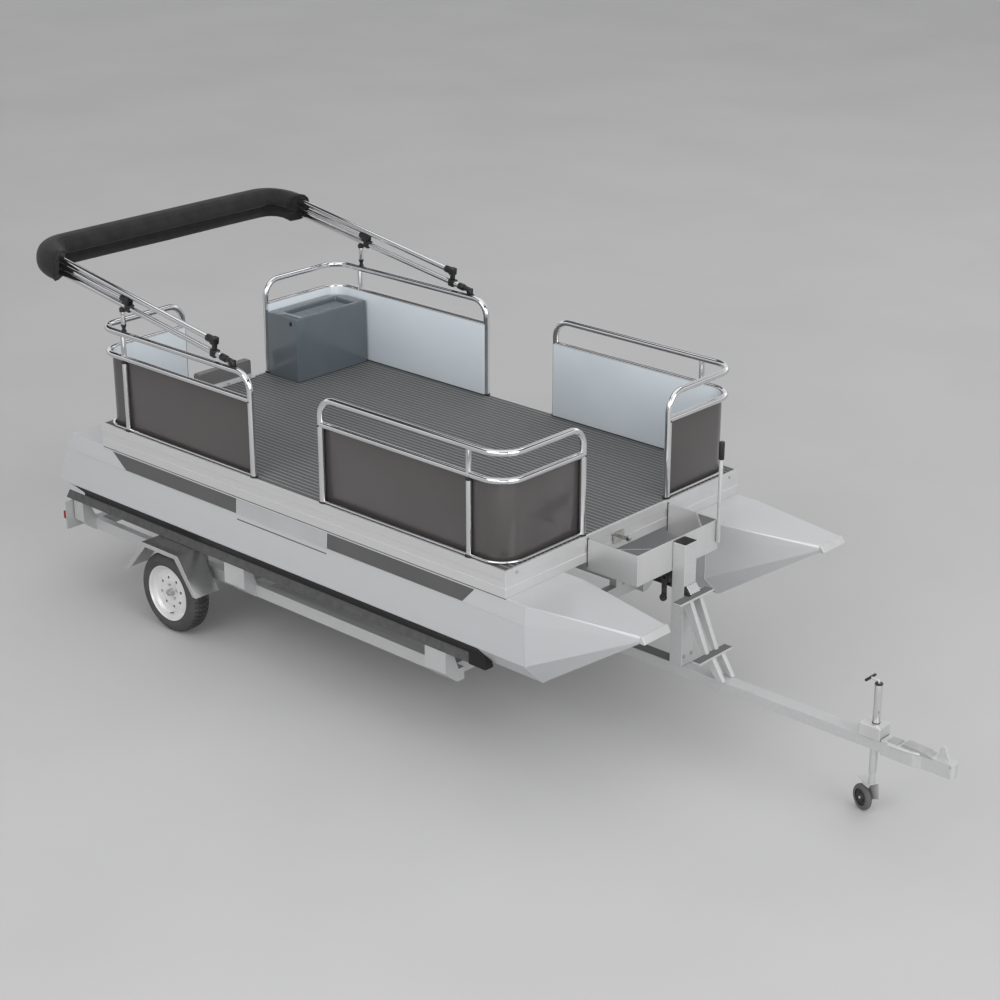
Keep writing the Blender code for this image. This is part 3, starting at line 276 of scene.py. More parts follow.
@dataclass(frozen=True)
class Spangled(Finish):
    """Zinc that froze in crystals: flat-sided patches, each with its own brightness."""

    def mixture(self, tree: Tree) -> bpy.types.NodeSocket:
        """Mixes crystals with soft patches of white bloom.

        Args:
            tree: The material's node tree.

        Returns:
            The socket that carries the share of the worn colour.
        """
        where = add_node(tree, "ShaderNodeTexCoord").outputs["Object"]
        cells = add_node(tree, "ShaderNodeTexVoronoi", {"Vector": where, "Scale": 1 / self.grain})
        tone = add_node(tree, "ShaderNodeSeparateColor", {"Color": cells.outputs["Color"]})
        return add_node(tree, "ShaderNodeMix", {
            "Factor": 0.55, "A": tone.outputs["Red"], "B": self.cloud(tree, self.patch),
        }).outputs["Result"]


@dataclass(frozen=True)
class Ribbed(Finish):
    """Decking with a painted highlight: its rib tops are coloured pale, with a little random wear
    besides.
    """

    top: float = DECK_ORIGIN.z
    rib: float = 0.0026

    def mixture(self, tree: Tree) -> bpy.types.NodeSocket:
        """Gives the pale colour, as a painted highlight, to what stands above the planks' faces,
        and adds random patches of wear.

        Args:
            tree: The material's node tree.

        Returns:
            The socket that carries the share of the worn colour.
        """
        # Painted highlight: the pale colour follows height, so every rib top is lighter.
        where = add_node(tree, "ShaderNodeTexCoord").outputs["Object"]
        height = add_node(tree, "ShaderNodeSeparateXYZ", {"Vector": where}).outputs["Z"]
        above = add_node(
            tree, "ShaderNodeMapRange",
            {
                "Value": height, "From Min": self.top - self.rib * 0.7,
                "From Max": self.top - self.rib * 0.2, "To Max": 0.8,
            },
        )
        wear = add_node(
            tree, "ShaderNodeMapRange", {"Value": self.cloud(tree, self.patch), "To Max": 0.2}
        )
        return add_node(
            tree, "ShaderNodeMath", {0: above.outputs["Result"], 1: wear.outputs["Result"]},
            operation="ADD",
        ).outputs["Value"]


@dataclass(frozen=True)
class Woven(Finish):
    """Cloth: two crossed sets of threads, drawn as coarse as they need to show."""

    def height(self, tree: Tree) -> bpy.types.NodeSocket:
        """Crosses two sets of waves, a thread apart, and keeps the higher one.

        Args:
            tree: The material's node tree.

        Returns:
            The socket that carries the height.
        """
        where = add_node(tree, "ShaderNodeTexCoord").outputs["Object"]
        sets = [
            add_node(
                tree, "ShaderNodeTexWave",
                {"Vector": where, "Scale": 0.31 / self.grain, "Distortion": 0.6},
                bands_direction=direction,
            ).outputs["Fac"]
            for direction in ("DIAGONAL", "Y")
        ]
        return add_node(
            tree, "ShaderNodeMath", {0: sets[0], 1: sets[1]}, operation="MAXIMUM"
        ).outputs["Value"]

    def extras(self, shader: bpy.types.Node) -> None:
        """Gives the cloth the soft edge light of its fibres."""
        shader.inputs["Sheen Weight"].default_value = 0.1
        shader.inputs["Sheen Roughness"].default_value = 0.5


@dataclass(frozen=True)
class Glossy(Finish):
    """Moulded plastic or paint with a clear skin over it."""

    def extras(self, shader: bpy.types.Node) -> None:
        """Adds the clear skin."""
        shader.inputs["Coat Weight"].default_value = 0.5
        shader.inputs["Coat Roughness"].default_value = 0.12


@dataclass(frozen=True)
class Lens(Finish):
    """Clear red acrylic with moulded prisms behind its face."""

    def height(self, tree: Tree) -> bpy.types.NodeSocket:
        """Draws the prisms as upright bands."""
        where = add_node(tree, "ShaderNodeTexCoord").outputs["Object"]
        return add_node(tree, "ShaderNodeTexWave", {"Vector": where, "Scale": 0.31 / self.grain},
                        bands_direction="Y").outputs["Fac"]

    def extras(self, shader: bpy.types.Node) -> None:
        """Lets some light through the acrylic."""
        shader.inputs["Transmission Weight"].default_value = 0.25
        shader.inputs["IOR"].default_value = 1.49


# Rolled aluminium sheet, left bare: soft reflections, faint rolling lines along the hull
SHEET = Finish(
    "rolled_aluminium_sheet", "#D3D5D6", "#CACCCE", 0.9, 0.46, 0.05, 0.5, 0.004, 0.00004,
    (0.15, 1, 1),
)
# Extruded aluminium, clear anodised: a little glossier, with long die lines
EXTRUSION = Finish(
    "anodised_aluminium_extrusion", "#D6D6D6", "#C8C8C9", 0.5, 0.4, 0.06, 0.55, 0.003, 0.00005,
    (0.06, 1, 1),
)
# Aluminium plate, brushed: the bow bracket and the small fittings cut from plate
PLATE = Finish(
    "brushed_aluminium_plate", "#D4D4D4", "#C8C8C8", 0.25, 0.36, 0.06, 0.6, 0.002, 0.00004,
    (1, 1, 0.1),
)
# The same plate, mill bright: the mudguards mirror what is above them, softly
BRIGHT = Finish(
    "bright_aluminium_sheet", "#D6D6D6", "#C9C9C9", 0.3, 0.24, 0.05, 0.9, 0.003, 0.00003,
    (1, 0.2, 1),
)
# Stainless tube, polished: sharp streaks of light and dark along it
TUBE = Finish("polished_stainless_tube", "#E0E0E1", "#D4D5D6", 0.4, 0.09, 0.03, 1.0, 0.05, 0.00001)
# Polyester powder coat on the fence sheets, warm grey outside
COAT_OUT = Glossy(
    "powder_coat_warm_grey", "#494645", "#444140", 0.6, 0.34, 0.05, 0.0, 0.0012, 0.00002
)
# The same coat inside, pale blue-grey
COAT_IN = Glossy(
    "powder_coat_pale_blue", "#D5DDE2", "#CED6DC", 0.6, 0.36, 0.05, 0.0, 0.0012, 0.00002
)
# Extruded vinyl decking: matte, a little chalky in random patches; its rib tops are coloured pale
# as a painted highlight
DECKING = Ribbed(
    "extruded_vinyl_decking", "#4C4D4E", "#8E8F8F", 0.35, 0.6, 0.06, 0.0, 0.0015, 0.0002,
    (0.2, 1, 1),
)
# Polyethylene moulded in a polished tool: deep blue-grey with a wet gloss
SHELL = Glossy(
    "moulded_polyethylene_shell", "#5F676D", "#575F65", 0.5, 0.22, 0.05, 0.0, 0.004, 0.00003
)
# Closed-cell foam mat in the tray: pale and dull
MAT = Finish("closed_cell_foam_mat", "#757D83", "#6B7379", 0.1, 0.8, 0.05, 0.0, 0.002, 0.0002)
# Pressed steel, passivated: the coupling's works, greyer than the zinc round them
PRESSED = Finish(
    "passivated_pressed_steel", "#B0B0B0", "#A6A6A6", 0.1, 0.42, 0.05, 0.4, 0.003, 0.00003
)
# Nylon moulded with glass fibre: black, with a fine sparkle of roughness
NYLON = Finish("glass_filled_nylon", "#161616", "#202020", 0.03, 0.42, 0.08, 0.0, 0.0008, 0.00006)
# Acrylic canvas, dyed through: black with a warm bloom on its folds
CANVAS = Woven("dyed_acrylic_canvas", "#161616", "#111112", 0.12, 0.85, 0.06, 0.0, 0.0035, 0.00035)
# Painted shade: near-black canvas inside the open sleeve, for the dark where little light gets
SLEEVE_SHADE = Woven("painted_shade_in_sleeve", "#0A0A0A", "#0E0E0E", 0.05, 0.95, 0.04, 0.0, 0.0035, 0.0002)
# Polyester webbing on the winch: coarse ribs across the band
WEBBING = Woven("polyester_webbing", "#3A3B3D", "#2C2D2F", 0.02, 0.8, 0.06, 0.0, 0.002, 0.0003)
# Hot-dip galvanised steel: crystals a centimetre or two across under a white bloom
GALVANISED = Spangled(
    "hot_dip_galvanised_steel", "#C0C1C1", "#CBCCCC", 0.25, 0.46, 0.05, 0.45, 0.012, 0.00002
)
# Zinc plated bolts and washers: small and bright
ZINC = Finish("zinc_plated_fastener", "#C9C9C4", "#A9A9A6", 0.01, 0.3, 0.06, 0.9, 0.001, 0.00003)
# Tyre rubber: black gone grey, dustier in patches
RUBBER = Finish("tyre_rubber", "#3D3D3D", "#4A4A49", 0.09, 0.72, 0.07, 0.0, 0.0015, 0.00012)
# Solid rubber of the small wheel: darker and smoother
SOLID_RUBBER = Finish("solid_rubber", "#1B1B1B", "#232323", 0.05, 0.6, 0.07, 0.0, 0.001, 0.00006)
# Silver baked enamel on the wheels: bright with a fine orange peel
RIM_ENAMEL = Glossy(
    "silver_baked_enamel", "#E0E0E0", "#D4D4D4", 0.12, 0.34, 0.05, 0.2, 0.003, 0.00003
)
# Black chassis enamel on the winch: even, chipped a little to grey
BLACK_ENAMEL = Glossy(
    "black_chassis_enamel", "#1B1B1C", "#2A2A2A", 0.02, 0.32, 0.08, 0.0, 0.0015, 0.00004
)
# Marine plywood, sealed with grey paint: the grain stands through along the board
PAINTED_BOARD = Finish(
    "painted_marine_plywood", "#6E6E6E", "#646464", 0.08, 0.46, 0.07, 0.0, 0.004, 0.00012,
    (1, 0.15, 1),
)
# Needle-felt carpet round the bunk boards: grey, dense and dull
CARPET = Finish("needle_felt_carpet", "#5B5B5B", "#505050", 0.05, 0.92, 0.04, 0.0, 0.0022, 0.0007)
# Polyethylene pad on the bunks and their front caps: black and waxy; on the pads its black also
# runs up the hull's chamfer as painted shade
PAD_AND_SHADE = Finish(
    "black_pad_and_painted_shade", "#070708", "#0E0E0E", 0.2, 0.62, 0.08, 0.0, 0.002, 0.00005,
    (0.1, 1, 1),
)
# Clear red acrylic
RED_LENS = Lens("red_acrylic_lens", "#A8121C", "#8C0F18", 0.02, 0.14, 0.04, 0.0, 0.006, 0.0008)
# Cast vinyl film: flat graphite grey with a dull sheen
FILM = Finish("cast_vinyl_film", "#575757", "#515151", 0.4, 0.44, 0.05, 0.0, 0.003, 0.00001)
# The same film in light grey, on the plain panel
PALE_FILM = Finish("pale_vinyl_film", "#B9BABB", "#B1B3B4", 0.4, 0.4, 0.05, 0.2, 0.003, 0.00001)
# Grit-faced tape on treads and gussets: dark, rough sparkle
GRIT = Finish("grit_faced_tape", "#5C5C5C", "#6B6B6B", 0.004, 0.85, 0.08, 0.0, 0.0018, 0.0005)
# Extruded rubber seal between frame and fittings; the same black also serves as painted shade in
# gaps, holes and under edges
SEAL_AND_SHADE = Finish("extruded_rubber_seal", "#202020", "#2B2B2B", 0.05, 0.6, 0.06, 0.0, 0.0015, 0.00004)


# The bench: how each mesh is made


def pick(*pieces: Piece) -> None:
    """Selects these pieces and nothing else; the first one is the active one."""
    bpy.ops.object.select_all(action="DESELECT")
    for piece in pieces:
        piece.select_set(True)
    bpy.context.view_layer.objects.active = pieces[0]


@contextmanager
def editing(piece: Piece, everything: bool = True) -> Iterator[None]:
    """Opens a piece in edit mode for the steps inside, and closes it again.

    Args:
        piece: The piece.
        everything: True to select all of it first, False to keep what is selected.

    Returns:
        What a with statement opens and closes.
    """
    pick(piece)
    bpy.ops.object.mode_set(mode="EDIT")
    if everything:
        bpy.ops.mesh.select_all(action="SELECT")
    yield
    bpy.ops.object.mode_set(mode="OBJECT")


def worked(piece: Piece, kind: str, **settings: object) -> Piece:
    """Puts one modifier on a piece and applies it.

    Args:
        piece: The piece.
        kind: The modifier's type.
        **settings: Its settings.

    Returns:
        The same piece.
    """
    step = piece.modifiers.new(kind.lower(), kind)
    for name, value in settings.items():
        setattr(step, name, value)
    pick(piece)
    bpy.ops.object.modifier_apply(modifier=step.name)
    return piece


def netted(name: str, spots: Sequence[Sequence[float]], edges: Sequence[tuple[int, int]] = (),
           faces: Sequence[tuple[int, ...]] = ()) -> Piece:
    """A new piece from points, edges and faces, as thin as it is drawn.

    Args:
        name: The piece's name.
        spots: Its points.
        edges: Pairs of their numbers.
        faces: Rings of their numbers.

    Returns:
        The piece.
    """
    mesh = bpy.data.meshes.new(name)
    mesh.from_pydata(spots, edges, faces)
    piece = bpy.data.objects.new(name, mesh)
    bpy.context.scene.collection.objects.link(piece)
    return piece


def settle(name: str) -> Piece:
    """Names the active object and puts its place into its mesh.

    Args:
        name: The piece's name.

    Returns:
        The piece.
    """
    piece = bpy.context.active_object
    bpy.ops.object.transform_apply(location=True, rotation=True, scale=True)
    piece.name = name
    piece.data.name = name
    return piece


def outward(piece: Piece, merge: float = 0.00001) -> Piece:
    """Merges a piece's doubles and turns its faces outwards.

    Args:
        piece: The piece.
        merge: How close two corners are to be one.

    Returns:
        The same piece.
    """
    with editing(piece):
        bpy.ops.mesh.remove_doubles(threshold=merge)
        bpy.ops.mesh.normals_make_consistent(inside=False)
    return piece


def eased(
    piece: Piece, width: float, segments: int = 2, angle: float = 30.0
) -> Piece:
    """Rounds a piece's edges.

    Args:
        piece: The piece.
        width: The rounding's width.
        segments: How many faces it has.
        angle: The least angle of an edge that is rounded, in degrees.

    Returns:
        The same piece.
    """
    return worked(
        piece, "BEVEL", width=width, segments=segments, limit_method="ANGLE",
        angle_limit=math.radians(angle),
    )


def smoothed(piece: Piece, angle: float = 40.0) -> Piece:
    """Shades a piece smooth across all edges below an angle."""
    pick(piece)
    bpy.ops.object.shade_smooth_by_angle(angle=math.radians(angle))
    return piece


def block(name: str, low: Sequence[float], high: Sequence[float], edge: float = 0.0015,
          segments: int = 2) -> Piece:
    """A bar or plate between two corners, with eased edges.

    Args:
        name: The piece's name.
        low: One corner.
        high: The corner across from it.
        edge: The width of the eased edge.
        segments: How many faces the eased edge has.

    Returns:
        The piece.
    """
    first, last = Vector(low), Vector(high)
    bpy.ops.object.select_all(action="DESELECT")
    bpy.ops.mesh.primitive_cube_add(size=1.0, location=(first + last) / 2)
    bpy.context.active_object.scale = [abs(v) for v in last - first]
    return eased(settle(name), edge, segments)


def rod(name: str, start: Vector, end: Vector, radius: float, sides: int = 24, edge: float = 0.001,
        tip: float | None = None) -> Piece:
    """A round bar, pin or disc with eased rims.

    Args:
        name: The piece's name.
        start: The middle of its first end.
        end: The middle of its other end.
        radius: Its radius.
        sides: How many sides it has.
        edge: The width of the eased rims.
        tip: The radius at the other end, where it differs.

    Returns:
        The piece.
    """
    along = end - start
    bpy.ops.object.select_all(action="DESELECT")
    bpy.ops.mesh.primitive_cone_add(
        vertices=sides, radius1=radius, radius2=radius if tip is None else tip, depth=along.length,
        location=(start + end) / 2, rotation=along.to_track_quat("Z", "Y").to_euler(),
    )
    return smoothed(eased(settle(name), edge, 2, 50), 35)


def rounded(corners: Iterable[Vector], radii: Sequence[float], steps: int = 10) -> list[Vector]:
    """A path with an arc in each inner corner.

    Args:
        corners: The path's corners.
        radii: The radius at each inner corner.
        steps: How many stretches each arc has.

    Returns:
        The path's points.
    """
    spots = [Vector(c) for c in corners]
    points = [spots[0]]
    for before, corner, after, radius in zip(spots, spots[1:], spots[2:], radii):
        back, ahead = (before - corner).normalized(), (after - corner).normalized()
        half = back.angle(ahead) / 2
        reach = radius / math.tan(half)
        centre = corner + (back + ahead).normalized() * (radius / math.sin(half))
        first = (corner + back * reach - centre).normalized()
        last = (corner + ahead * reach - centre).normalized()
        points += [centre + first.slerp(last, i / steps) * radius for i in range(steps + 1)]
    return points + [spots[-1]]


def tube(name: str, path: Sequence[Vector], radius: float, sides: int = 20) -> Piece:
    """A round tube along a path, closed at its ends.

    Args:
        name: The piece's name.
        path: The points that its middle follows.
        radius: Its radius.
        sides: How many sides it has.

    Returns:
        The piece.
    """
    curve = bpy.data.curves.new(name, "CURVE")
    curve.dimensions = "3D"
    curve.bevel_depth = radius
    curve.bevel_resolution = (sides - 4) // 2
    curve.use_fill_caps = True
    spline = curve.splines.new("POLY")
    spline.points.add(len(path) - 1)
    for point, spot in zip(spline.points, path):
        point.co = (*spot, 1.0)
    holder = bpy.data.objects.new(name, curve)
    bpy.context.scene.collection.objects.link(holder)
    pick(holder)
    bpy.ops.object.convert(target="MESH")
    return smoothed(outward(settle(name)), 50)


def plate(name: str, outline: Sequence[Pair], axis: Axis, start: float, end: float,
          edge: float = 0.0012, angle: float = 30.0) -> Piece:
    """A flat outline pushed along an axis.

    Args:
        name: The piece's name.
        outline: Pairs of the other two axes' values, in order round the outline.
        axis: The axis it is pushed along.
        start: Where it starts on that axis.
        end: Where it ends on that axis.
        edge: The width of the eased edges.
        angle: The least angle of an edge that is eased, in degrees.

    Returns:
        The piece.
    """
    others = [i for i in range(3) if i != axis.value]
    corners = []
    for pair in outline:
        spot = [0.0, 0.0, 0.0]
        spot[axis.value], spot[others[0]], spot[others[1]] = start, *pair
        corners.append(spot)
    piece = netted(name, corners, faces=[tuple(range(len(corners)))])
    push = [0.0, 0.0, 0.0]
    push[axis.value] = end - start
    with editing(piece):
        bpy.ops.mesh.extrude_region_move(TRANSFORM_OT_translate={"value": push})
        bpy.ops.mesh.select_all(action="SELECT")
        bpy.ops.mesh.normals_make_consistent(inside=False)
    return eased(piece, edge, 2, angle)


def lathed(name: str, profile: Sequence[Pair], centre: Vector, hand: int = 1,
           steps: int = 72) -> Piece:
    """A profile spun once round a line along Y.

    Args:
        name: The piece's name.
        profile: Pairs of radius and place along Y from the centre, towards the outside.
        centre: A point of the line.
        hand: -1 where the outside is towards -Y.
        steps: How many steps the turn has.

    Returns:
        The piece.
    """
    spots = [centre + Vector((radius, hand * along, 0.0)) for radius, along in profile]
    edges = [(i, i + 1) for i in range(len(spots) - 1)]
    if profile[0][0] > 0 or profile[-1][0] > 0:
        edges.append((len(spots) - 1, 0))
    piece = netted(name, spots, edges)
    with editing(piece):
        bpy.ops.mesh.spin(steps=steps, angle=math.tau, center=centre, axis=(0, 1, 0))
    return smoothed(outward(piece), 38)


def swelled(
    piece: Piece, voxel: float, pressure: float, reach: float
) -> Piece:
    """Blows a closed shell up as cloth, from an even net of small faces.

    Args:
        piece: The shell.
        voxel: How wide a face of the net is.
        pressure: The air pressure inside.
        reach: How far a point may move.

    Returns:
        The same piece, puffed.
    """
    worked(piece, "REMESH", mode="VOXEL", voxel_size=voxel)
    before = [spot.co.copy() for spot in piece.data.vertices]
    cloth = piece.modifiers.new("cloth", "CLOTH")
    cloth.settings.quality = 5
    cloth.settings.mass = 0.25
    cloth.settings.tension_stiffness = 12.0
    cloth.settings.compression_stiffness = 12.0
    cloth.settings.bending_stiffness = 0.4
    cloth.settings.use_pressure = True
    cloth.settings.uniform_pressure_force = pressure
    cloth.settings.effector_weights.gravity = 0.0
    cloth.collision_settings.use_self_collision = False
    for frame_number in range(1, 21):
        bpy.context.scene.frame_set(frame_number)
    pick(piece)
    bpy.ops.object.modifier_apply(modifier="cloth")
    bpy.context.scene.frame_set(1)
    for spot, start in zip(piece.data.vertices, before):
        move = spot.co - start
        if move.length > reach:
            spot.co = start + move * (reach / move.length)
    return worked(piece, "SUBSURF", levels=1, render_levels=1)


def joined(name: str, pieces: Sequence[Piece]) -> Piece:
    """Makes several pieces one, under a new name."""
    pick(*pieces)
    bpy.ops.object.join()
    return settle(name)


def carved(piece: Piece, *tools: Piece) -> Piece:
    """Cuts tools out of a piece and takes the tools away.

    Args:
        piece: The piece that is cut.
        *tools: What is cut out of it.

    Returns:
        The piece.
    """
    for tool in tools:
        worked(piece, "BOOLEAN", object=tool, operation="DIFFERENCE", solver="EXACT")
        bpy.data.objects.remove(tool, do_unlink=True)
    return piece


def bolt(centre: Vector, facing: Vector, radius: float = 0.009) -> Piece:
    """A hexagon head on its washer.

    Args:
        centre: Where the washer lies.
        facing: The direction that the head faces.
        radius: The head's radius.

    Returns:
        The fastener, to be joined with its like.
    """
    up = facing.normalized()
    washer = rod("washer", centre, centre + up * radius * 0.2, radius * 1.45, 20, radius * 0.06)
    head = rod(
        "head", centre + up * radius * 0.2, centre + up * radius * 0.85, radius, 6, radius * 0.1
    )
    pick(head)
    bpy.ops.object.shade_flat()
    return joined("bolt", [washer, head])


def bolts(name: str, places: Iterable[tuple[Vector, Vector]], radius: float = 0.009,
          body: str = ROOT) -> Piece:
    """A set of like fasteners as one piece.

    Args:
        name: The piece's name.
        places: Where each lies and which way it faces.
        radius: The radius of the heads.
        body: The body that the set rides on.

    Returns:
        The piece.
    """
    return dress(joined(name, [bolt(spot, facing, radius) for spot, facing in places]), ZINC, body)


def dress(piece: Piece, finish: Finish, body: str = ROOT, replaces: Sequence[str] = ()) -> Piece:
    """Gives a piece its finish and its body, and reports it.

    Args:
        piece: The piece.
        finish: Its finish.
        body: The body that it rides on.
        replaces: The CAD nodes that it stands for.

    Returns:
        The piece.
    """
    piece.data.materials.clear()
    piece.data.materials.append(finish.material())
    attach(piece, body)
    if replaces:
        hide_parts(*replaces)
    log.info("%s: %d faces, %s", piece.name, len(piece.data.polygons), finish.name)
    return piece


def recut(name: str, node: str, finish: Finish, edge: float = 0.002, segments: int = 2,
          angle: float = 25.0) -> Piece:
    """A CAD node's shape as one merged skin with eased edges, dressed and in the node's place.

    Args:
        name: The piece's name.
        node: The node.
        finish: The piece's finish.
        edge: The width of the eased edges.
        segments: How many faces they have.
        angle: The least angle of an edge that is eased, in degrees.

    Returns:
        The piece.
    """
    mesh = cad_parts[node].data.copy()
    mesh.materials.clear()
    piece = bpy.data.objects.new(name, mesh)
    bpy.context.scene.collection.objects.link(piece)
    outward(piece, 0.00005)
    with editing(piece):
        bpy.ops.mesh.dissolve_limited(angle_limit=math.radians(0.6))
    bpy.ops.mesh.customdata_custom_splitnormals_clear()
    bpy.ops.object.shade_flat()
    return dress(eased(piece, edge, segments, angle), finish, replaces=(node,))


def repaint(
    piece: Piece, finish: Finish, chosen: Callable[[Vector, Vector], bool]
) -> None:
    """Gives some faces of a piece another finish.

    Args:
        piece: The piece.
        finish: The other finish.
        chosen: Says of a face's middle and normal whether it gets the finish.
    """
    piece.data.materials.append(finish.material())
    number = len(piece.data.materials) - 1
    for face in piece.data.polygons:
        if chosen(face.center, face.normal):
            face.material_index = number


# The boat and the trailer


@dataclass
class Pontoons:
    """The two folded-sheet hulls, with their seams, decals and tip plates."""

    deck_under: float = 0.1643
    crease: float = 0.1170
    lean: float = 0.008
    side: float = 0.371
    depth: float = 0.524
    width: float = 0.506
    chamfer: float = 0.153
    seam_x: float = 3.746
    tip_x: float = 4.4615
    tip_out: float = 0.131
    tip_width: float = 0.216
    film: float = 0.0005
    fold: float = 0.2813
    band: Pair = (0.181, 0.2795)
    lip_outline: tuple[Pair, ...] = (
        (-0.006, -0.1625), (0.002, -0.162), (0.03, -0.2), (0.024, -0.206), (-0.006, -0.206))

    def band_y(self, drop: float) -> float:
        """Where the leaning band stands off the middle line, at a depth below the deck's top."""
        return DECK_HALF - self.lean * (1 - (drop - self.deck_under) / self.crease)

    def decal(self, name: str, side: Side, top: Pair, foot: Pair,
              finish: Finish, drops: Pair | None = None) -> None:
        """Lays a film on the band between the deck frame and the crease.

        Args:
            name: The piece's name.
            side: The side that it is on.
            top: Where its upper edge starts and ends along x.
            foot: Where its lower edge starts and ends along x.
            finish: The film.
            drops: How far its edges are below the deck's top, where not the whole band.
        """
        high, low = drops or self.band
        outline = [(top[0], high), (top[1], high), (foot[1], low), (foot[0], low)]
        spots = [
            at(x, side.value * (self.band_y(min(d, self.fold)) + self.film), -d) for x, d in outline
        ]
        piece = netted(name, spots, faces=[(0, 1, 2, 3)])
        with editing(piece):
            bpy.ops.mesh.extrude_region_move(
                TRANSFORM_OT_translate={"value": (0, -side.value * self.film * 3, 0)}
            )
        dress(outward(piece), finish)

    def seam(self, side: Side, name: str) -> Piece:
        """A weld bead round the hull's section, where its bow piece starts.

        Args:
            side: The hull's side.
            name: The bead's name.

        Returns:
            The bead.
        """
        out, inn = DECK_HALF, DECK_HALF - self.width
        top, bottom = self.deck_under, self.deck_under + self.depth
        corners = (
            (out - self.lean, top + 0.004), (out, top + self.crease), (out, top + self.side),
            (out - self.chamfer, bottom), (inn + self.chamfer, bottom), (inn, top + self.side),
            (inn, top + self.crease), (inn + self.lean, top + 0.004),
        )
        return tube(
            name, [at(self.seam_x, side.value * y, -drop) for y, drop in corners], 0.0022, 8
        )

    def build(self) -> None:
        """Builds both hulls and what is fixed to them."""
        for side in Side:
            hand, label = side.value, side.label
            recut(f"hull_{label}", f"pontoon_{label}", SHEET, 0.003, 2, 2.5)
            dress(self.seam(side, f"hull_seams_{label}"), SHEET)
            panel, whole = (1.334, 2.146), (0.002, DECK_LENGTH - 0.002)
            self.decal(f"stripe_aft_{label}", side, (0.095, 1.328), (0.235, 1.328), FILM)
            self.decal(f"stripe_bow_{label}", side, (2.152, 3.358), (2.152, 3.268), FILM)
            self.decal(f"plain_panel_{label}", side, panel, panel, PALE_FILM)
            self.decal(f"panel_underline_{label}", side, panel, panel, FILM, (0.311, 0.319))
            # A dark strip just under the deck frame's edge: painted shadow along the gap between
            # frame and hull.
            self.decal(f"deck_joint_{label}", side, whole, whole, SEAL_AND_SHADE, (0.1652, 0.1722))
            fold = [at(x, hand * DECK_HALF, -self.fold) for x in (-0.4036, 3.745)]
            dress(tube(f"fold_bead_{label}", fold, 0.0034, 10), PLATE)
            out = DECK_HALF - self.tip_out
            outline = side_on((self.tip_x + x, z) for x, z in self.lip_outline)
            tip = plate(
                f"tip_lip_{label}", outline, Axis.Y, hand * (out + 0.003),
                hand * (out - self.tip_width - 0.003), 0.0015, 20,
            )
            dress(tip, PLATE)
            plug = rod(
                f"drain_plug_{label}", at(-0.43, hand * 0.82, -0.4),
                at(-0.448, hand * 0.82, -0.402), 0.016,
            )
            dress(plug, NYLON)


@dataclass
class Deck:
    """The extruded frame, the beams below it and the ribbed planks."""

    wall: float = 0.0165
    thickness: float = 0.03
    pitch: float = 0.0377
    rib: float = 0.0026
    rib_width: float = 0.009

    def planks(self) -> Piece:
        """Lays the planks: one sheet, cut into strips along the boat, with every rib left standing.

        Returns:
            The finished deck covering.
        """
        half = DECK_HALF - self.wall
        length = DECK_LENGTH - 2 * self.wall
        count = round(2 * half / self.pitch)
        step = 2 * half / count
        bpy.ops.object.select_all(action="DESELECT")
        bpy.ops.mesh.primitive_cube_add(
            size=1.0, location=at(DECK_LENGTH / 2, 0, -(self.rib + self.thickness) / 2)
        )
        bpy.context.active_object.scale = (length, 2 * half, self.thickness - self.rib)
        deck = settle("deck_planks")
        with editing(deck):
            for i in range(1, count):
                line = -half + i * step
                for shift in (-self.rib_width / 2, self.rib_width / 2):
                    bpy.ops.mesh.select_all(action="SELECT")
                    bpy.ops.mesh.bisect(plane_co=(0, line + shift, 0), plane_no=(0, 1, 0))
        top = max(v.co.z for v in deck.data.vertices)
        for face in deck.data.polygons:
            offset = (face.center.y + half) % step
            near = min(offset, step - offset) < self.rib_width / 4
            edge = half - abs(face.center.y) < step / 2
            face.select = face.normal.z > 0.9 and face.center.z > top - 0.0001 and near and not edge
        modes = bpy.context.tool_settings
        modes.mesh_select_mode = (False, False, True)
        with editing(deck, False):
            bpy.ops.mesh.extrude_region_move(TRANSFORM_OT_translate={"value": (0, 0, self.rib)})
        modes.mesh_select_mode = (True, False, False)
        return eased(deck, 0.0009, 1, 40)

    def build(self) -> None:
        """Builds the deck."""
        recut("deck_rim", "deck_frame", EXTRUSION, 0.0022)
        recut("deck_beams", "deck_underframe", EXTRUSION)
        dress(self.planks(), DECKING, replaces=("deck_floor",))
        heads = [(at(x, side.value * 0.98, -0.03), Vector((facing, 0, 0)))
                 for side in Side for x, facing in ((0.0, -1), (DECK_LENGTH, 1))]
        bolts("frame_bolts", heads, 0.007)


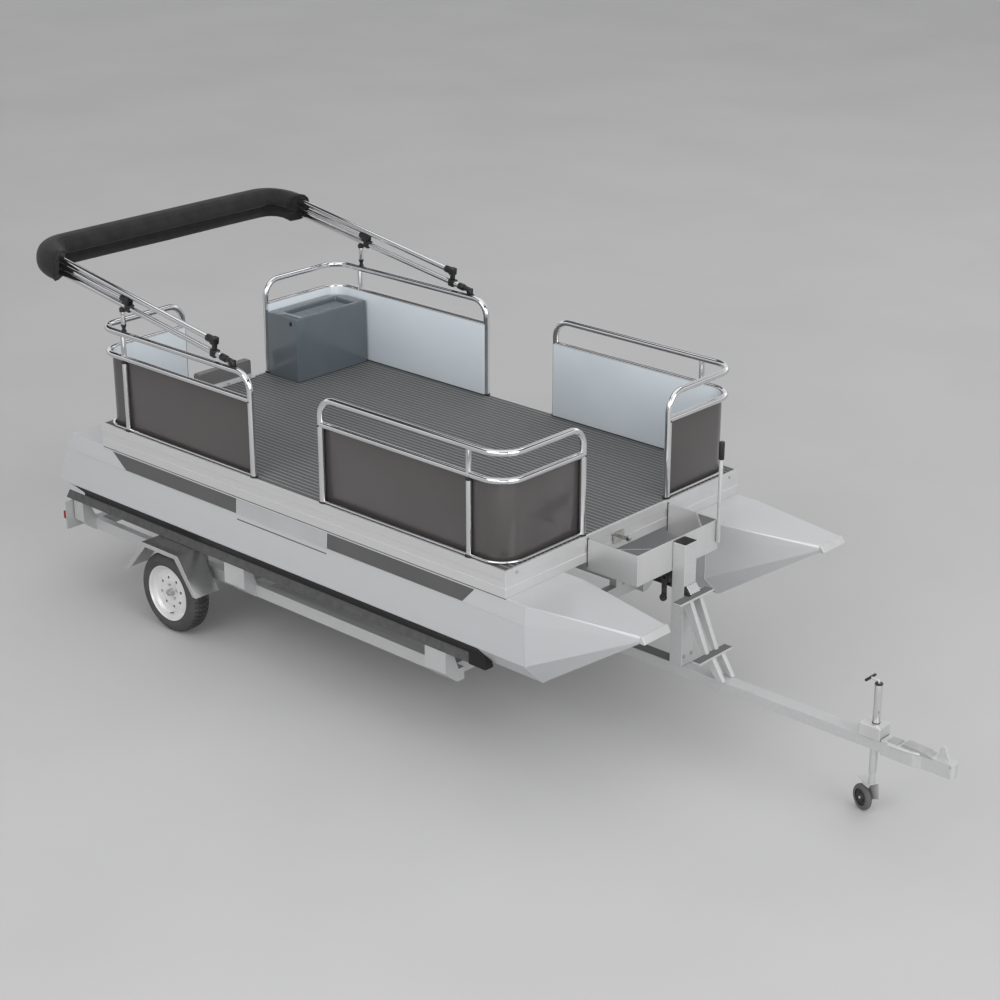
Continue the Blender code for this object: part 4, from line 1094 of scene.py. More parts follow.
@dataclass
class Fence:
    """One run of railing: a bent tube, its rails, post and black fittings, and the sheet behind."""

    side: Side
    end: End
    line: float = RAIL_LINE
    end_inset: float = 0.0288
    top_height: float = RAIL_HEIGHT
    mid_height: float = 0.497
    top_r: float = RAIL_RADIUS
    mid_r: float = 0.0195
    low_r: float = 0.0085
    post_r: float = 0.017
    end_r: float = 0.112
    sheet: float = 0.006
    gates: dict[End, Pair] = field(
        default_factory=lambda: {End.AFT: (1.49, 0.371), End.BOW: (2.11, 0.389)})
    posts: dict[End, float] = field(default_factory=lambda: {End.AFT: 0.268, End.BOW: 3.305})
    corners: dict[End, float] = field(default_factory=lambda: {End.AFT: 0.125, End.BOW: 0.16})

    def end_x(self) -> float:
        """Where the run's short leg stands along the boat."""
        return self.end_inset if self.end is End.AFT else DECK_LENGTH - self.end_inset

    def path(self, height: float, bent: bool) -> list[Vector]:
        """The route of a rail at a height, with its legs where it has them.

        Args:
            height: Its height above the deck.
            bent: True for the top rail, which bends down to the deck at both ends.

        Returns:
            The route's points.
        """
        y, (gate_x, gate_y) = self.side.value * self.line, self.gates[self.end]
        corners = [at(gate_x, y, height), at(self.end_x(), y, height),
                   at(self.end_x(), self.side.value * gate_y, height)]
        radii = [self.corners[self.end]]
        if bent:
            corners = [
                at(gate_x, y, 0.001), *corners, at(self.end_x(), self.side.value * gate_y, 0.001)
            ]
            radii = [self.end_r, *radii, self.end_r]
        return rounded(corners, radii)

    def feet(self) -> list[Pair]:
        """Where the legs and the post stand on the deck."""
        gate_x, gate_y = self.gates[self.end]
        y = self.side.value * self.line
        return [(gate_x, y), (self.posts[self.end], y), (self.end_x(), self.side.value * gate_y)]

    def panel(self) -> Piece:
        """Bends the sheet round the corner, dark outside and pale inside.

        Returns:
            The sheet.
        """
        inward, hand = -self.end.value, self.side.value
        gate_x, gate_y = self.gates[self.end]
        outline: list[Pair] = []
        for inset, order in ((self.top_r, 1), (self.top_r + self.sheet, -1)):
            y = hand * (self.line - inset)
            x = self.end_x() + inward * inset
            route = rounded(
                [at(gate_x, y, 0), at(x, y, 0), at(x, hand * gate_y, 0)],
                [self.corners[self.end] - inset], 14,
            )
            outline += [(p.x, p.y) for p in route][::order]
        base = DECK_ORIGIN.z
        piece = plate(
            f"fence_sheet_{self.side.label}_{self.end.label}", outline, Axis.Z, base + 0.0006,
            base + self.mid_height + self.mid_r / 3, 0.0009, 40,
        )
        return smoothed(piece, 30)

    def seal(self, name: str) -> Piece:
        """Runs a black strip along the foot of the sheet, inside: painted shade for the dark gap
        under the sheet.

        Args:
            name: The strip's name.

        Returns:
            The strip.
        """
        inset = self.top_r + self.sheet + 0.002
        gate_x, gate_y = self.gates[self.end]
        y, x = self.side.value * (self.line - inset), self.end_x() - self.end.value * inset
        corner = self.corners[self.end] - inset
        corners = [at(gate_x, y, 0.0045), at(x, y, 0.0045), at(x, self.side.value * gate_y, 0.0045)]
        return tube(name, rounded(corners, [corner]), 0.0045, 10)

    def build(self) -> None:
        """Builds the run."""
        tag = f"{self.side.label}_{self.end.label}"
        y = self.side.value * self.line
        post_x = self.posts[self.end]
        parts = [
            tube("top", self.path(self.top_height, True), self.top_r, 24),
            tube("mid", self.path(self.mid_height, False), self.mid_r, 24),
            tube("low", self.path(self.low_r + 0.002, False), self.low_r, 16),
            rod("post", at(post_x, y, 0.001), at(post_x, y, self.top_height), self.post_r, 24),
        ]
        dress(
            joined(f"fence_tubes_{tag}", parts), TUBE, replaces=(f"fence_rail_{tag}",),
        )
        fittings = []
        for x, foot_y in self.feet():
            spot = at(x, foot_y, 0)
            fittings.append(
                rod(
                    "foot", spot + Vector((0, 0, 0.0004)), spot + Vector((0, 0, 0.011)), 0.0245, 28,
                    0.002,
                )
            )
        low = self.mid_height - self.mid_r
        fittings.append(
            rod(
                "ring", at(post_x, y, low - 0.016), at(post_x, y, low + 0.006),
                self.post_r + 0.0028, 28,
            )
        )
        for x, foot_y in self.feet()[::2]:
            spot = at(x, foot_y, self.mid_height - 0.007)
            beside = abs(abs(foot_y) - self.line) < 0.001
            out = Vector((0, self.side.value, 0)) if beside else Vector((self.end.value, 0, 0))
            fittings.append(
                rod(
                    "screw", spot + out * (self.top_r - 0.003), spot + out * (self.top_r + 0.003),
                    0.0055, 16,
                )
            )
        dress(joined(f"fence_fittings_{tag}", fittings), NYLON)
        # The black strip at the sheet's foot is painted shade for the gap under it.
        dress(self.seal(f"fence_seal_{tag}"), SEAL_AND_SHADE)
        panel = dress(self.panel(), COAT_OUT, replaces=(f"fence_panel_{tag}",))
        repaint(panel, COAT_IN, lambda spot, normal: abs(normal.z) < 0.5
                and normal.x * self.end.value + normal.y * self.side.value < -0.05)


@dataclass
class Console:
    """The moulded box in the port aft corner, with its sunk tray, the mat in it and its latch."""

    forward: float = 0.368
    inboard: float = 0.345
    height: float = 0.455

    def build(self) -> None:
        """Builds the box, the mat and the latch."""
        smoothed(recut("console_shell", "console_box", SHELL, 0.009, 4), 40)
        floor = self.height - 0.0448
        mat = block(
            "console_mat", at(0.1485, self.inboard + 0.0865, floor),
            at(self.forward - 0.0315, 0.9195, floor + 0.014), 0.004, 3,
        )
        dress(mat, MAT)
        x = self.forward - 0.058
        latch = [
            block(
                "keeper", at(x - 0.009, self.inboard - 0.005, 0.402),
                at(x + 0.009, self.inboard + 0.001, 0.43), 0.002,
            ),
            block(
                "pull", at(x - 0.006, self.inboard - 0.01, 0.406),
                at(x + 0.006, self.inboard - 0.0045, 0.426), 0.002,
            ),
        ]
        dress(joined("console_latch", latch), NYLON)


@dataclass
class MotorMount:
    """The upright board behind the stern and the angle strip at its foot."""

    board_bolts_y: tuple[float, ...] = (-0.19, -0.06, 0.06, 0.19)
    board_bolts_z: tuple[float, ...] = (-0.035, -0.13)
    strip_bolts_y: tuple[float, ...] = (-0.19, 0.0, 0.19)

    def build(self) -> None:
        """Builds the board, the strip and their bolts."""
        recut("motor_plank", "motor_board", PAINTED_BOARD, 0.004, 3)
        recut("motor_angle", "motor_strip", EXTRUSION, 0.0012)
        heads = [
            (at(-0.055, y, z), Vector((-1, 0, 0)))
            for y in self.board_bolts_y
            for z in self.board_bolts_z
        ]
        heads += [(at(0.03, y, 0.0042), Vector((0, 0, 1))) for y in self.strip_bolts_y]
        bolts("motor_mount_bolts", heads, 0.008)


@dataclass
class BowBracket:
    """The plates round the winch post's head, their gussets, the bow eye and the guide pole."""

    half: float = 0.375
    reach: float = 0.372
    top: float = 0.022
    plate: float = 0.008
    gusset: float = 0.16

    def build(self) -> None:
        """Builds the bracket and what is on it."""
        recut("bow_plates", "bow_bracket", PLATE, 0.0015)
        front = DECK_LENGTH + self.reach
        for side in Side:
            hand = side.value
            low = at(front - self.plate, hand * (self.half - self.plate), 0)
            cut = self.gusset - 3 * self.plate
            outline = [(low.x, low.y), (low.x - cut, low.y), (low.x, low.y - hand * cut)]
            level = DECK_ORIGIN.z - self.top - 0.004
            pad = plate(f"gusset_pad_{side.label}", outline, Axis.Z, level, level + 0.002, 0.0006)
            dress(pad, GRIT)
            strip = block(
                f"bracket_seal_{side.label}", at(DECK_LENGTH, hand * (self.half + 0.001), -0.196),
                at(DECK_LENGTH + 0.006, hand * (self.half - self.plate - 0.001), -0.016), 0.001,
            )
            dress(strip, SEAL_AND_SHADE)
        parts = [
            block("base", at(3.6003, -0.145, -0.125), at(3.606, -0.045, -0.06), 0.002),
            block("tongue", at(3.604, -0.1, -0.097), at(3.69, -0.09, -0.067), 0.003),
            rod("ring", at(3.676, -0.1035, -0.082), at(3.676, -0.0865, -0.082), 0.019, 28, 0.003),
        ]
        dress(joined("bow_eye", parts), ZINC)
        # A black disc through the solid ring: painted shade standing in for the eye's open hole.
        hole = rod(
            "bow_eye_hole", at(3.676, -0.1042, -0.082), at(3.676, -0.0858, -0.082), 0.0085, 20,
            0.0005,
        )
        dress(hole, SEAL_AND_SHADE)
        x, y = front + 0.0128, self.half - 0.0125
        pole = rod("guide_tube", at(x, y, -0.16), at(x, y, 0.468), 0.0125, 24)
        dress(pole, GALVANISED, replaces=("guide_pole",))
        sleeve = rod("guide_sleeve", at(x, y, 0.36), at(x, y, 0.4702), 0.017, 28, 0.003)
        dress(sleeve, NYLON)


@dataclass
class ShadeFrame:
    """The folded sun-shade: its bows, jaws, hinges, struts and the rolled cover."""

    tilt: float = math.radians(8.3)
    hinge_x: float = 1.337
    hinge_z: float = 0.708
    line: float = RAIL_LINE
    length: float = 1.715
    radius: float = 0.019
    second: Triple = (0.20, 0.078, 0.092)
    third: Triple = (1.03, 0.046, 0.046)
    jaw_ahead: float = 0.03
    strut_x: float = 0.285
    boot_r: float = 0.096
    boot_rise: float = 0.04
    boot_back: float = 1.946
    boot_cuts: Pair = (0.6, 0.15)
    body: str = "shade_frame"
    # outwards and up in shares of the radius: the back's bulge, the tucked flap, then the fold
    boot_section: tuple[Pair, ...] = (
        (-0.92, 0.42), (-0.7, 0.78), (-0.36, 0.95), (0.1, 0.97), (0.5, 0.86), (0.8, 0.6),
        (0.94, 0.2), (0.94, -0.25), (0.84, -0.62), (0.56, -0.88), (0.15, -0.97), (-0.35, -0.98),
        (-0.66, -0.98), (-0.75, -0.92), (-0.76, -0.7), (-0.72, -0.54), (-0.52, -0.46),
        (-0.36, -0.36), (-0.36, -0.14), (-0.52, -0.1), (-0.88, -0.04), (-0.97, 0.16),
    )

    def spot(self, along: float, rise: float, y: float) -> Vector:
        """A place on the folded frame: aft along the main bow, up from it, and across."""
        cos, sin = math.cos(self.tilt), math.sin(self.tilt)
        return at(
            self.hinge_x - along * cos + rise * sin, y, self.hinge_z + along * sin + rise * cos
        )

    def tilted(self, piece: Piece) -> Piece:
        """Turns a piece that was built level, aft of the hinge, to the frame's tilt."""
        pivot = self.spot(0, 0, 0)
        piece.data.transform(turn_about(pivot, self.tilt, "Y"))
        return piece

    def level(self, along: float, rise: float, y: float) -> Vector:
        """The same place before the tilt."""
        return at(self.hinge_x - along, y, self.hinge_z + rise)

    def jaw(self, y: float, start: float, rise: float) -> Piece:
        """The black jaw that ends a folded bow and clips it to the main bow.

        Args:
            y: The side's place.
            start: Where the bow ends, aft of the hinge.
            rise: How far the bow lies above the main one.

        Returns:
            The jaw.
        """
        wide = self.radius + 0.005
        parts = [
            rod(
                "socket", self.level(start - 0.012, rise, y), self.level(start + 0.065, rise, y),
                wide, 20, 0.002,
            ),
            block(
                "cap", self.level(start + 0.02, rise - wide, y - wide),
                self.level(start - 0.018, rise + wide, y + wide), 0.006,
            ),
            block(
                "tongue", self.level(start + 0.012, 0.006, y - 0.011),
                self.level(start - 0.018, rise, y + 0.011), 0.003,
            ),
            block(
                "clamp", self.level(start + 0.016, -wide, y - wide),
                self.level(start - 0.034, wide, y + wide), 0.006,
            ),
            rod(
                "pin", self.level(start - 0.009, 0, y - wide - 0.004),
                self.level(start - 0.009, 0, y + wide + 0.004), 0.007, 16,
            ),
        ]
        return self.tilted(joined("jaw", parts))

    def hinge(self, side: Side) -> None:
        """Builds the elbow at the main bow's foot and the saddle that it turns on.

        Args:
            side: The side it stands on.
        """
        y, label = side.value * self.line, side.label
        bend = rounded(
            [self.level(0.1, 0, y), self.level(0.0, 0.002, y), self.level(-0.004, -0.022, y)],
            [0.016], 8,
        )
        parts = [
            tube("elbow", bend, self.radius - 0.002, 20),
            rod(
                "socket", self.level(0.05, 0, y), self.level(0.1, 0, y), self.radius + 0.004, 24,
                0.003,
            ),
            rod("pin", self.level(0, 0, y - 0.0215), self.level(0, 0, y + 0.0215), 0.006, 20),
        ]
        dress(self.tilted(joined(f"bow_foot_{label}", parts)), NYLON, self.body)
        top = RAIL_HEIGHT + RAIL_RADIUS
        x, high = self.hinge_x, self.hinge_z + 0.01
        parts = [
            block(
                "saddle", at(x - 0.025, y - 0.0185, top - 0.008),
                at(x + 0.025, y + 0.0185, top + 0.003), 0.0025,
            ),
            block(
                "ear_a", at(x - 0.011, y - 0.0212, top - 0.004), at(x + 0.011, y - 0.0178, high),
                0.0012,
            ),
            block(
                "ear_b", at(x - 0.011, y + 0.0178, top - 0.004), at(x + 0.011, y + 0.0212, high),
                0.0012,
            ),
        ]
        dress(
            joined(f"hinge_saddle_{label}", parts), NYLON, replaces=(f"shade_hinge_{label}",),
        )

    def strut(self, side: Side) -> None:
        """Builds the short post that the folded frame rests on.

        Args:
            side: The side it stands on.
        """
        y, label = side.value * self.line, side.label
        bow = self.spot((self.hinge_x - self.strut_x) / math.cos(self.tilt), 0, y)
        x, top = bow.x, bow.z - self.radius / math.cos(self.tilt) - 0.001
        rail = DECK_ORIGIN.z + RAIL_HEIGHT + 0.0005

        def upright(name: str, low: float, high: float, radius: float, edge: float = 0.001,
                    tip: float | None = None) -> Piece:
            """One round piece of the post, between two heights."""
            return rod(name, Vector((x, y, low)), Vector((x, y, high)), radius, 24, edge, tip)

        link = upright(f"strut_link_{label}", rail + 0.06, top - 0.024, 0.0155)
        dress(link, TUBE)
        parts = [
            upright("seat", rail + 0.014, rail + 0.03, 0.0165, 0.002),
            upright("neck", rail + 0.026, rail + 0.045, 0.0115, 0.0015),
            upright("flare", rail + 0.043, rail + 0.068, 0.0125, 0.003, 0.0195),
            upright("knob", top - 0.03, top - 0.004, 0.0215, 0.003),
            upright("stop", top - 0.005, top + 0.0005, 0.014),
        ]
        dress(
            joined(f"strut_fittings_{label}", parts), NYLON, replaces=(f"shade_strut_{label}",),
        )

    def bows(self, side: Side) -> None:
        """Builds the three bow legs of one side with their jaws.

        Args:
            side: The side.
        """
        y, label = side.value * self.line, side.label
        main = self.tilted(
            rod(
                f"main_bow_{label}", self.level(0.05, 0, y), self.level(self.length, 0, y),
                self.radius,
            )
        )
        dress(main, TUBE, self.body, (f"shade_main_bow_{label}",))
        for name, (start, rise, rise_aft) in (("second", self.second), ("third", self.third)):
            first = start - self.jaw_ahead
            ends = self.level(first, rise, y), self.level(self.length, rise_aft, y)
            leg = rod(f"{name}_bow_{label}", *ends, self.radius)
            dress(
                self.tilted(leg), TUBE, self.body, (f"shade_{name}_bow_{label}",)
            )
            jaw = self.jaw(y, first, rise)
            jaw.name = f"{name}_bow_jaw_{label}"
            dress(jaw, NYLON, self.body)

    def sleeve(self) -> tuple[list[Vector], list[Vector]]:
        """Rings of the cover's section, round the backs of the bows from starboard to port.

        Returns:
            The middle of each ring, and the points of all the rings.
        """
        line, start = self.line, self.length + 0.0003
        corners = [
            self.spot(start, self.boot_rise, -line),
            self.spot(self.boot_back, self.boot_rise, -line),
            self.spot(self.boot_back, self.boot_rise, line), self.spot(start, self.boot_rise, line),
        ]
        route = rounded(corners, [0.2, 0.2], 14)
        middle: list[Vector] = []
        for first, last in zip(route, route[1:]):
            count = max(1, round((last - first).length / 0.03))
            middle += [first.lerp(last, i / count) for i in range(count)]
        middle.append(route[-1])
        across = (corners[3] - corners[0]).normalized()
        plane = across.cross(corners[0] - corners[1]).normalized()
        plane = plane if plane.z > 0 else -plane
        r = self.boot_r
        spots = []
        for i, point in enumerate(middle):
            ahead = (middle[min(i + 1, len(middle) - 1)] - middle[max(i - 1, 0)]).normalized()
            out = plane.cross(ahead).normalized()
            if (point - self.spot(0.9, self.boot_rise, 0)).dot(out) < 0:
                out = -out
            cut = {0: self.boot_cuts[0], len(middle) - 1: self.boot_cuts[1]}.get(i, 0.0) * r
            slant = (ahead if i else -ahead) * cut
            spots += [
                point + out * (a * r) + plane * (b * r) + slant * a for a, b in self.boot_section
            ]
        return middle, spots

    def mouth(self, label: str, centre: Vector, ahead: Vector, ring: Sequence[Vector]) -> None:
        """Sews the hem round one end of the cover, with a near-black plug of painted shade inside
        it for the dark of the open sleeve.

        Args:
            label: The end's side.
            centre: The middle of the end.
            ahead: The direction out of the sleeve.
            ring: The points round the end.
        """
        n = len(ring)
        hem = [centre + (spot - centre) * 0.99 - ahead * 0.003 for spot in ring]
        dress(
            tube(f"shade_hem_{label}", hem + [hem[0]], 0.0055, 8), CANVAS, self.body,
        )
        # A near-black plug just inside the hem: painted shade for the dark inside the open sleeve.
        rim = [centre + (spot - centre) * 0.93 for spot in ring]
        walls = [(j, (j + 1) % n, n + (j + 1) % n, n + j) for j in range(n)]
        shade = netted(
            f"shade_mouth_{label}",
            [spot - ahead * 0.006 for spot in rim] + [spot + ahead * 0.0015 for spot in rim],
            faces=[tuple(range(n)), tuple(range(2 * n - 1, n - 1, -1)), *walls],
        )
        dress(outward(shade), SLEEVE_SHADE, self.body)

    def cover(self) -> None:
        """Sews the rolled cover: a sleeve with a rounded back, a flap below and a fold between."""
        middle, spots = self.sleeve()
        n = len(self.boot_section)
        faces = []
        for i in range(len(middle) - 1):
            for j in range(n):
                k = (j + 1) % n
                faces.append((i * n + j, i * n + k, (i + 1) * n + k, (i + 1) * n + j))
        faces += [tuple(range(n)), tuple(range(len(spots) - n, len(spots)))]
        boot = netted("shade_boot", spots, faces=faces)
        outward(boot)
        swelled(boot, 0.008, 2.0, 0.009)
        dress(smoothed(boot, 80), CANVAS, self.body, ("shade_cover",))
        self.mouth("starboard", middle[0], (middle[0] - middle[1]).normalized(), spots[:n])
        self.mouth("port", middle[-1], (middle[-1] - middle[-2]).normalized(), spots[-n:])

    def build(self) -> None:
        """Builds the whole frame."""
        for side in Side:
            self.hinge(side)
            self.strut(side)
            self.bows(side)
        self.cover()


@dataclass
class Bunks:
    """The four carpeted boards under the pontoons, each with a black pad and a cap in front."""

    aft: float = -0.56
    forward: float = 3.38
    out: float = DECK_HALF - 0.0725
    width: float = 0.06
    pad: float = 0.023
    pad_aft: float = -0.343
    skin: float = 0.0057
    foot: float = 0.702
    slope_top: float = 0.5362
    inner_line: float = 2 * DECK_HALF - 0.506
    cap: float = 0.13

    def section(self, hand: int, inner: bool, corners: Sequence[Pair]) -> list[Pair]:
        """Places an outline across the boat.

        Args:
            hand: The side's sign.
            inner: True for the board on the tunnel's side.
            corners: Distances from the middle line and drops below the deck, for an outer board.

        Returns:
            The outline's corners.
        """
        return [(hand * (self.inner_line - across if inner else across), DECK_ORIGIN.z - drop)
                for across, drop in corners]

    def top(self, across: float) -> float:
        """How far the sloping seat is below the deck, at a distance from the middle line."""
        return self.slope_top + DECK_HALF - across

    def board(self, below: float, proud: float) -> list[Pair]:
        """The board's corners: its top this far below the seat, its sides this far proud."""
        near, far = self.out + proud, self.out - self.width - proud
        return [
            (near, self.foot + proud), (near, self.top(near) + below), (far, self.top(far) + below),
            (far, self.foot + proud),
        ]

    def pad_with_shade_lip(self) -> list[Pair]:
        """The pad's corners: it covers the board and turns up along the hull's chamfer, where its
        black is painted shade for the shadowed band between bunk and hull.
        """
        near, far, lip = self.out + 0.002, self.out - self.width - 0.002, DECK_HALF - 0.0005
        return [(lip - 0.003, self.top(lip - 0.003)), (lip, self.top(lip) + self.skin),
                (near, self.top(near) + self.skin), (near, self.top(near) + self.pad),
                (far, self.top(far) + self.pad), (far, self.top(far))]

    def build(self) -> None:
        """Builds the four boards."""
        start, end = DECK_ORIGIN.x + self.aft, DECK_ORIGIN.x + self.forward
        for side in Side:
            for where, inner in (("outer", False), ("inner", True)):
                tag = f"{side.label}_{where}"
                board = plate(
                    f"bunk_board_{tag}",
                    self.section(side.value, inner, self.board(self.pad * 0.9, 0.0)), Axis.X, start,
                    end, 0.004, 20,
                )
                with editing(board):
                    bpy.ops.mesh.bisect(
                        plane_co=(start, 0, DECK_ORIGIN.z - self.foot), plane_no=(-0.841, 0, 0.541),
                        clear_outer=True, use_fill=True,
                    )
                dress(outward(board), CARPET, replaces=(f"bunk_{tag}",))
                # Black pad over the board; its lip up the hull's chamfer is painted shade.
                pad = plate(
                    f"bunk_pad_{tag}", self.section(side.value, inner, self.pad_with_shade_lip()), Axis.X,
                    DECK_ORIGIN.x + self.pad_aft, end - 0.002, 0.0012, 20,
                )
                dress(pad, PAD_AND_SHADE)
                cap = plate(
                    f"bunk_cap_{tag}",
                    self.section(side.value, inner, self.board(self.pad * 0.6, 0.0035)), Axis.X,
                    end - self.cap, end + 0.003, 0.003, 20,
                )
                dress(cap, PAD_AND_SHADE)


@dataclass
class TrailerFrame:
    """Side rails, cross beams, drawbar and axle, galvanised, with their bolts."""

    rail_out: float = WHEEL_OUT - WHEEL_WIDTH - 0.075
    seats: tuple[float, ...] = (1.18, 2.97)
    drawbar_half: float = 0.045
    nodes: tuple[str, ...] = (
        "side_rail_starboard", "side_rail_port", "cross_beam_1", "cross_beam_2", "cross_beam_3",
        "drawbar", "axle",
    )

    def build(self) -> None:
        """Dresses the steelwork and adds its fasteners."""
        for node in self.nodes:
            edge = 0.005 if node == "drawbar" else 0.0035
            recut(f"{node}_steel", node, GALVANISED, edge, 3)
        heads = []
        for side in Side:
            for x in self.seats:
                for shift in (-0.055, 0.055):
                    spot = at(x + shift, side.value * (self.rail_out + 0.06), -0.78)
                    heads.append((spot, Vector((0, side.value, 0.35))))
        bolts("rail_bolts", heads, 0.009)
        clamps = []
        for x in self.seats:
            for shift in (-0.045, 0.045):
                corners = [
                    at(x + shift, y, z)
                    for y, z in ((-0.06, -0.93), (-0.06, -0.79), (0.06, -0.79), (0.06, -0.93))
                ]
                clamps.append(tube("clamp", rounded(corners, [0.015, 0.015], 5), 0.006, 12))
        dress(joined("drawbar_clamps", clamps), ZINC)
        # A thin dark plate along the drawbar's top, aft of the post; it makes that face dark.
        mat = block(
            "drawbar_mat", at(3.1, -self.drawbar_half + 0.004, -0.8),
            at(3.965, self.drawbar_half - 0.004, -0.797), 0.001,
        )
        dress(mat, GRIT)


@dataclass
class RoadWheel:
    """One road wheel: a tyre with cut tread, and a pressed steel rim with its holes and hub."""

    side: Side
    x: float = 0.64
    out: float = WHEEL_OUT
    radius: float = 0.273
    width: float = WHEEL_WIDTH
    seat: float = 0.185
    steps: int = 144
    grooves: tuple[float, ...] = (0.052, 0.0775, 0.103)
    block_turn: float = 7.5
    cut_turn: float = 2.5
    vents: int = 8
    nuts: int = 4

    def centre(self) -> Vector:
        """The wheel's middle, on its outer side."""
        return Vector((DECK_ORIGIN.x + self.x, self.side.value * self.out, self.radius))

    def tyre(self) -> None:
        """Spins the tyre and cuts its shoulder blocks."""
        w, r = self.width, self.radius
        half = [
            (self.seat, -0.0155), (self.seat + 0.003, -0.0105), (0.196, -0.0045), (0.206, -0.0016),
            (0.22, -0.0004), (0.2215, 0.0006), (0.2255, 0.0006), (0.227, -0.0004), (0.238, -0.0018),
            (0.248, -0.006), (0.257, -0.0125), (0.2645, -0.0195), (0.2695, -0.026),
            (r - 0.0009, -0.034),
        ]
        grooves = []
        for middle in self.grooves:
            grooves += [
                (r, -middle + 0.0035), (r - 0.006, -middle + 0.0025), (r - 0.006, -middle - 0.0025),
                (r, -middle - 0.0035),
            ]
        profile = half + grooves + [(radius, -w - y) for radius, y in half[::-1]]
        tyre = lathed(
            f"tyre_rubber_{self.side.label}", profile, self.centre(), self.side.value, self.steps
        )
        centre = self.centre()
        for face in tyre.data.polygons:
            away = Vector((face.center.x - centre.x, 0, face.center.z - centre.z))
            turn = math.degrees(math.atan2(away.z, away.x)) % self.block_turn
            depth = abs(face.center.y - centre.y)
            shoulder = away.length > 0.2655 and (depth < 0.049 or depth > w - 0.049)
            crown = away.length > r - 0.001 and 0.056 < depth < w - 0.056
            late = (turn + self.block_turn / 2) % self.block_turn
            face.select = (shoulder and turn < self.cut_turn) or (crown and late < self.cut_turn)
        for spot in tyre.data.vertices:
            spot.select = False
        for line in tyre.data.edges:
            line.select = False
        with editing(tyre, False):
            bpy.ops.mesh.select_mode(type="FACE")
            bpy.ops.mesh.extrude_region_shrink_fatten(TRANSFORM_OT_shrink_fatten={"value": -0.0075})
            bpy.ops.mesh.select_mode(type="VERT")
        smoothed(tyre, 30)
        dress(tyre, RUBBER, f"wheel_{self.side.label}", (f"tyre_{self.side.label}",))

    def rim(self) -> None:
        """Spins the rim and drills its vents, with a black ring of painted shade behind them for
        the dark of the wheel's inside.
        """
        s, hand, label = self.seat - 0.0006, self.side.value, self.side.label
        body, centre = f"wheel_{label}", self.centre()
        profile = [
            (s - 0.004, -0.139), (s, -0.1395), (s, -0.13), (s - 0.012, -0.11), (s - 0.02, -0.085),
            (s - 0.012, -0.045), (s - 0.002, -0.03), (s, -0.0145), (s + 0.004, -0.009),
            (s + 0.0055, -0.0055), (s + 0.003, -0.0035), (s - 0.001, -0.0062),
            (s - 0.0045, -0.0125), (s - 0.007, -0.028), (s - 0.018, -0.036), (s - 0.026, -0.045),
            (0.128, -0.046), (0.112, -0.04), (0.085, -0.0365), (0.066, -0.0385), (0.052, -0.047),
            (0.034, -0.048), (0.0, -0.048), (0.0, -0.052), (0.034, -0.052), (0.054, -0.051),
            (0.068, -0.0425), (0.085, -0.0405), (0.112, -0.044), (0.13, -0.05), (s - 0.024, -0.05),
            (s - 0.0235, -0.085), (s - 0.016, -0.11), (s - 0.004, -0.13),
        ]
        rim = lathed(f"rim_steel_{label}", profile, centre, hand, 96)
        holes = []
        for i in range(self.vents):
            turn = i * math.tau / self.vents + 0.2
            spot = centre + Vector((0.1 * math.cos(turn), 0, 0.1 * math.sin(turn)))
            near, far = (spot + Vector((0, -hand * depth, 0)) for depth in (0.025, 0.06))
            holes.append(rod("hole", near, far, 0.0098, 20, 0.0005))
        carved(rim, *holes)
        dress(smoothed(rim, 35), RIM_ENAMEL, body, (f"wheel_rim_{label}",))
        # A black ring behind the vents: painted shade for the dark inside the wheel.
        ring = [(0.088, -0.05), (0.112, -0.0495), (0.112, -0.052), (0.088, -0.0525)]
        dress(lathed(f"vent_shade_{label}", ring, centre, hand, 64), SEAL_AND_SHADE, body)

    def hub(self) -> None:
        """Spins the hub's cap and adds the nuts, the bearing's back and the valve."""
        hand, label = self.side.value, self.side.label
        body, centre = f"wheel_{label}", self.centre()
        profile = [
            (0.0, -0.006), (0.012, -0.0065), (0.019, -0.009), (0.0215, -0.014), (0.022, -0.04),
            (0.0245, -0.042), (0.0255, -0.05), (0.0, -0.05),
        ]
        dress(lathed(f"hub_{label}", profile, centre, hand, 48), ZINC, body)
        nuts = []
        for i in range(self.nuts):
            turn = i * math.tau / self.nuts + 0.5
            spot = centre + Vector((0.05 * math.cos(turn), -hand * 0.0475, 0.05 * math.sin(turn)))
            nuts.append((spot, Vector((0, hand, 0))))
        bolts(f"wheel_nuts_{label}", nuts, 0.0085, body)
        near, far = (centre + Vector((0, -hand * depth, 0)) for depth in (0.053, 0.108))
        dress(
            rod(f"hub_back_{label}", near, far, 0.045, 32, 0.003), GALVANISED, body,
        )
        valve = centre + Vector((0, 0, -0.152))
        foot, tip = valve + Vector((0, -hand * 0.044, 0)), valve + Vector((0, -hand * 0.018, 0.006))
        dress(rod(f"valve_{label}", foot, tip, 0.004, 16), SOLID_RUBBER, body)

    def build(self) -> None:
        """Builds the wheel."""
        self.tyre()
        self.rim()
        self.hub()


@dataclass
class Mudguards:
    """The bent sheet guards over the wheels, with their bolts."""

    inner: float = WHEEL_OUT - WHEEL_WIDTH - 0.013
    top: float = 0.703

    def build(self) -> None:
        """Builds both guards."""
        heads = []
        for side in Side:
            node = f"mudguard_{side.label}"
            recut(f"{node}_sheet", node, BRIGHT, 0.0014)
            for x in (0.455, 0.79):
                heads.append(
                    (at(x, side.value * (self.inner + 0.012), -self.top), Vector((0, 0, 1)))
                )
        bolts("mudguard_bolts", heads, 0.007)


